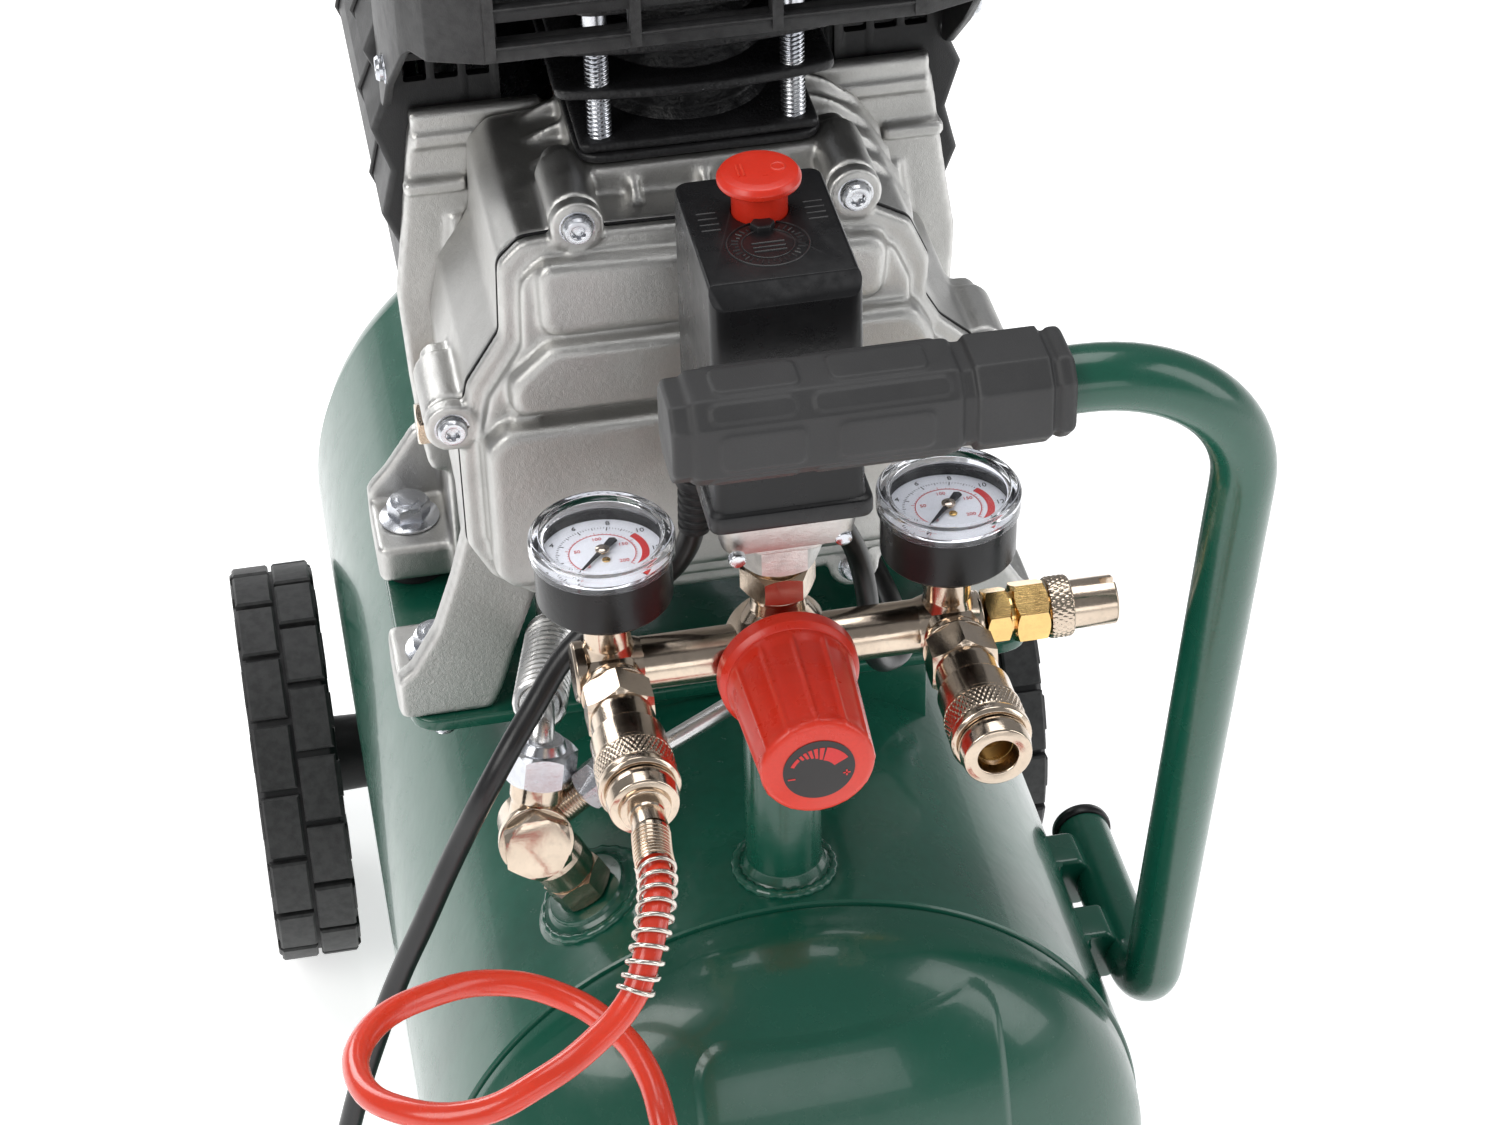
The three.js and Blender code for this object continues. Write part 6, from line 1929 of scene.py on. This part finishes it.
def add_hose_plug():
    at, way = (GAUGE_LEFT_X, 0, MANIFOLD_Z), (0, -1, 0)
    plug = lathe_data(at, way, fillet([(0, 36), (4.9, 36, 0.6), (4.9, 66), (5.5, 66.4, 0.4),
                                       (5.5, 69, 0.4), (5.2, 70, 0.3), (0, 70)], 0.4), 56)
    collar = lathe_data(at, way, fillet([(0, 65.4), (7.4, 65.4, 0.4), (7.4, 67, 0.4), (0, 67)],
                                        0.3), 56)
    guard = guard_route(0.0, 14.0, 12)
    ferrule = sweep_data(guard, 5.4, 40)
    grooves = []
    for k in range(9):
        spot = guard_route(1.0 + 1.4 * k, 1.2 + 1.4 * k, 1)
        grooves.append(lathe_data(spot[0], (spot[1] - spot[0]), fillet(
            [(5.0, 0), (5.75, 0.15), (5.75, 0.75), (5.0, 0.9)], 0.2), 40))
    tail = lathe_data(at, way, [(0, 69), (5.2, 69), (5.4, 76), (0, 76)], 40)
    new_object("hose_ferrule", *merge_data(plug, collar, ferrule, tail, *grooves),
               MAT["nickel"], "base", "hose_plug", math.radians(30))
    turns, length = 10, 41.0
    start = 13.0
    spine = guard_route(start, start + length, turns * 18)
    points, u = [], None
    for k, spot in enumerate(spine):
        nxt = spine[min(k + 1, len(spine) - 1)]
        prev = spine[max(k - 1, 0)]
        way_here = (nxt - prev).normalized()
        if u is None:
            u, _ = frame_along(way_here)
        u = (u - way_here * u.dot(way_here)).normalized()
        v = way_here.cross(u)
        a = 2 * math.pi * k / 18
        r = HOSE_R + 0.85 + 0.5 * (1 - k / len(spine))
        points.append(spot + (u * math.cos(a) + v * math.sin(a)) * r)
    sweep("hose_guard_wire", points, 0.75, MAT["spring_wire"], "base", sides=10)


HOSE_FITTING_Z = 8.4


def add_cord_ends():
    low, high = span("hose_end_fitting")
    x, z = (low.x + high.x) / 2, HOSE_FITTING_Z
    at, way = (x, 0, z), (0, 1, 0)
    parts = [
        lathe_data(at, way, fillet([
            (0, low.y), (5.6, low.y, 0.5), (5.6, low.y + 7, 0.4), (0, low.y + 7)], 0.4), 48),
        hexagon_data(at, way, 14, low.y + 6, low.y + 17, 1.0),
        lathe_data(at, way, fillet([(0, low.y + 16), (4.4, low.y + 16), (4.4, high.y - 9, 0.5),
                                    (6.0, high.y - 8, 0.5), (6.0, high.y - 4.5, 0.5),
                                    (4.6, high.y - 4, 0.4), (4.6, high.y - 0.6, 0.5), (0, high.y)],
                                   0.4), 48)]
    fitting = new_object("hose_nipple", *merge_data(*parts), MAT["nickel"], "base",
                         "hose_end_fitting", math.radians(25))
    low, high = span("mains_plug")
    x, z = (low.x + high.x) / 2, (low.z + high.z) / 2
    y = high.y
    rings = [(4.2, 0), (6.0, -0.6), (6.2, -3), (5.2, -3.8), (5.4, -6), (6.6, -6.8), (6.8, -9.4),
             (6.0, -10.2), (7.6, -13), (9.6, -16), (13.5, -21), (17.2, -25), (18.9, -31),
             (18.9, -41), (17.6, -43.6), (0, -44)]
    outline = [(0, y)] + fillet([(r, y + h) for r, h in rings], 0.6)
    body = lathe_data((x, 0, z), (0, 1, 0), outline, 72)
    pins = [lathe_data((x + dx, 0, z), (0, 1, 0), fillet(
        [(0, y - 43), (2.4, y - 43), (2.4, y - 61.5, 0.8), (0, y - 62.6)], 0.6), 32)
        for dx in (-9.5, 9.5)]
    grips = [prism_data("x", fillet([(y - 38 + 4 * k, z - 8), (y - 36 + 4 * k, z - 8),
                                     (y - 36 + 4 * k, z + 8), (y - 38 + 4 * k, z + 8)], 0.8,
                                    closed=True), x - 19.0, x + 19.0, 0.5) for k in range(2)]
    plug = new_object("mains_plug_body", *merge_data(body, *grips), MAT["black_rubber"], "base",
                      "mains_plug")
    new_object("mains_plug_pins", *merge_data(*pins), MAT["nickel"], "base")
    gland_low, gland_high = Vector((-17.6, 18, 433.7)), Vector((-19, 18.2, 412))
    way = gland_high - gland_low
    profile = [(4.4, 0), (6.3, 0, 0.3), (6.3, 3, 0.4), (5.6, 3.8, 0.3)]
    for k in range(5):
        h = 4.6 + 3.0 * k
        profile += [(5.6 - 0.12 * k, h, 0.2), (5.0 - 0.1 * k, h + 0.4, 0.2),
                    (5.0 - 0.1 * k, h + 1.2, 0.2), (5.5 - 0.12 * k, h + 1.6, 0.2)]
    profile += [(4.8, 20, 0.3), (4.0, 20.2), (4.0, 0), (4.4, 0)]
    lathe("strain_relief", gland_low, way, profile, MAT["black_rubber"], "base", "lead_gland")
    return fitting, plug


def add_ties():
    """Cable ties that hold the two coils."""
    for name, centre, rings, height, bearings in (
            ("hose", (-20.0, -294.0), (38, 62), 32.4, (0.3, 0.97)),
            ("lead", (-262.0, -50.0), (32.5, 47.5), 19.4, (0.6, 0.05))):
        for index, turn in enumerate(bearings):
            a = 2 * math.pi * turn
            mid, half = sum(rings) / 2, (rings[1] - rings[0]) / 2
            loop = []
            for k in range(49):
                b = 2 * math.pi * k / 48
                sx, sz = math.cos(b), math.sin(b)
                grow = 1.0 / max(abs(sx), abs(sz)) ** 0.75
                r = mid + (half + 0.7) * sx * grow
                z = height / 2 + 0.2 + (height / 2 - 0.1) * sz * grow
                loop.append((centre[0] + r * math.cos(a), centre[1] + r * math.sin(a),
                             max(1.0, z)))
            new_object(f"{name}_tie_{index}", *sweep_data(loop, 0.9, 10, cap=False),
                       MAT["tie_white"], "base")


def finish_cad_nodes():
    """The working parts inside keep their CAD shape, with softened edges and real finishes."""
    finish = {"steel": ("crankshaft", "rotor", "stator", "valve_plate"),
              "aluminium": ("piston", "connecting_rod", "rear_shield"),
              "plastic": ("cooling_fan",)}
    look = {"steel": "zinc_steel", "aluminium": "cast_aluminium", "plastic": "shroud_plastic"}
    for kind, nodes in finish.items():
        for node in nodes:
            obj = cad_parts[node]
            for slot in obj.material_slots:
                slot.material = MAT[look[kind]]
            bevel = obj.modifiers.new("edges", "BEVEL")
            bevel.width, bevel.segments, bevel.limit_method = 0.4 * MM, 2, "ANGLE"
            bevel.angle_limit = math.radians(35)


add_check_valve()
add_tubes()
add_manifold()
add_regulator_knob()
for gauge_side in PORTS:
    add_gauge(gauge_side)
    add_coupling(gauge_side)
add_switch()
add_safety_valve()
add_hose_plug()
hose_fitting, mains_plug = add_cord_ends()
add_ties()
finish_cad_nodes()
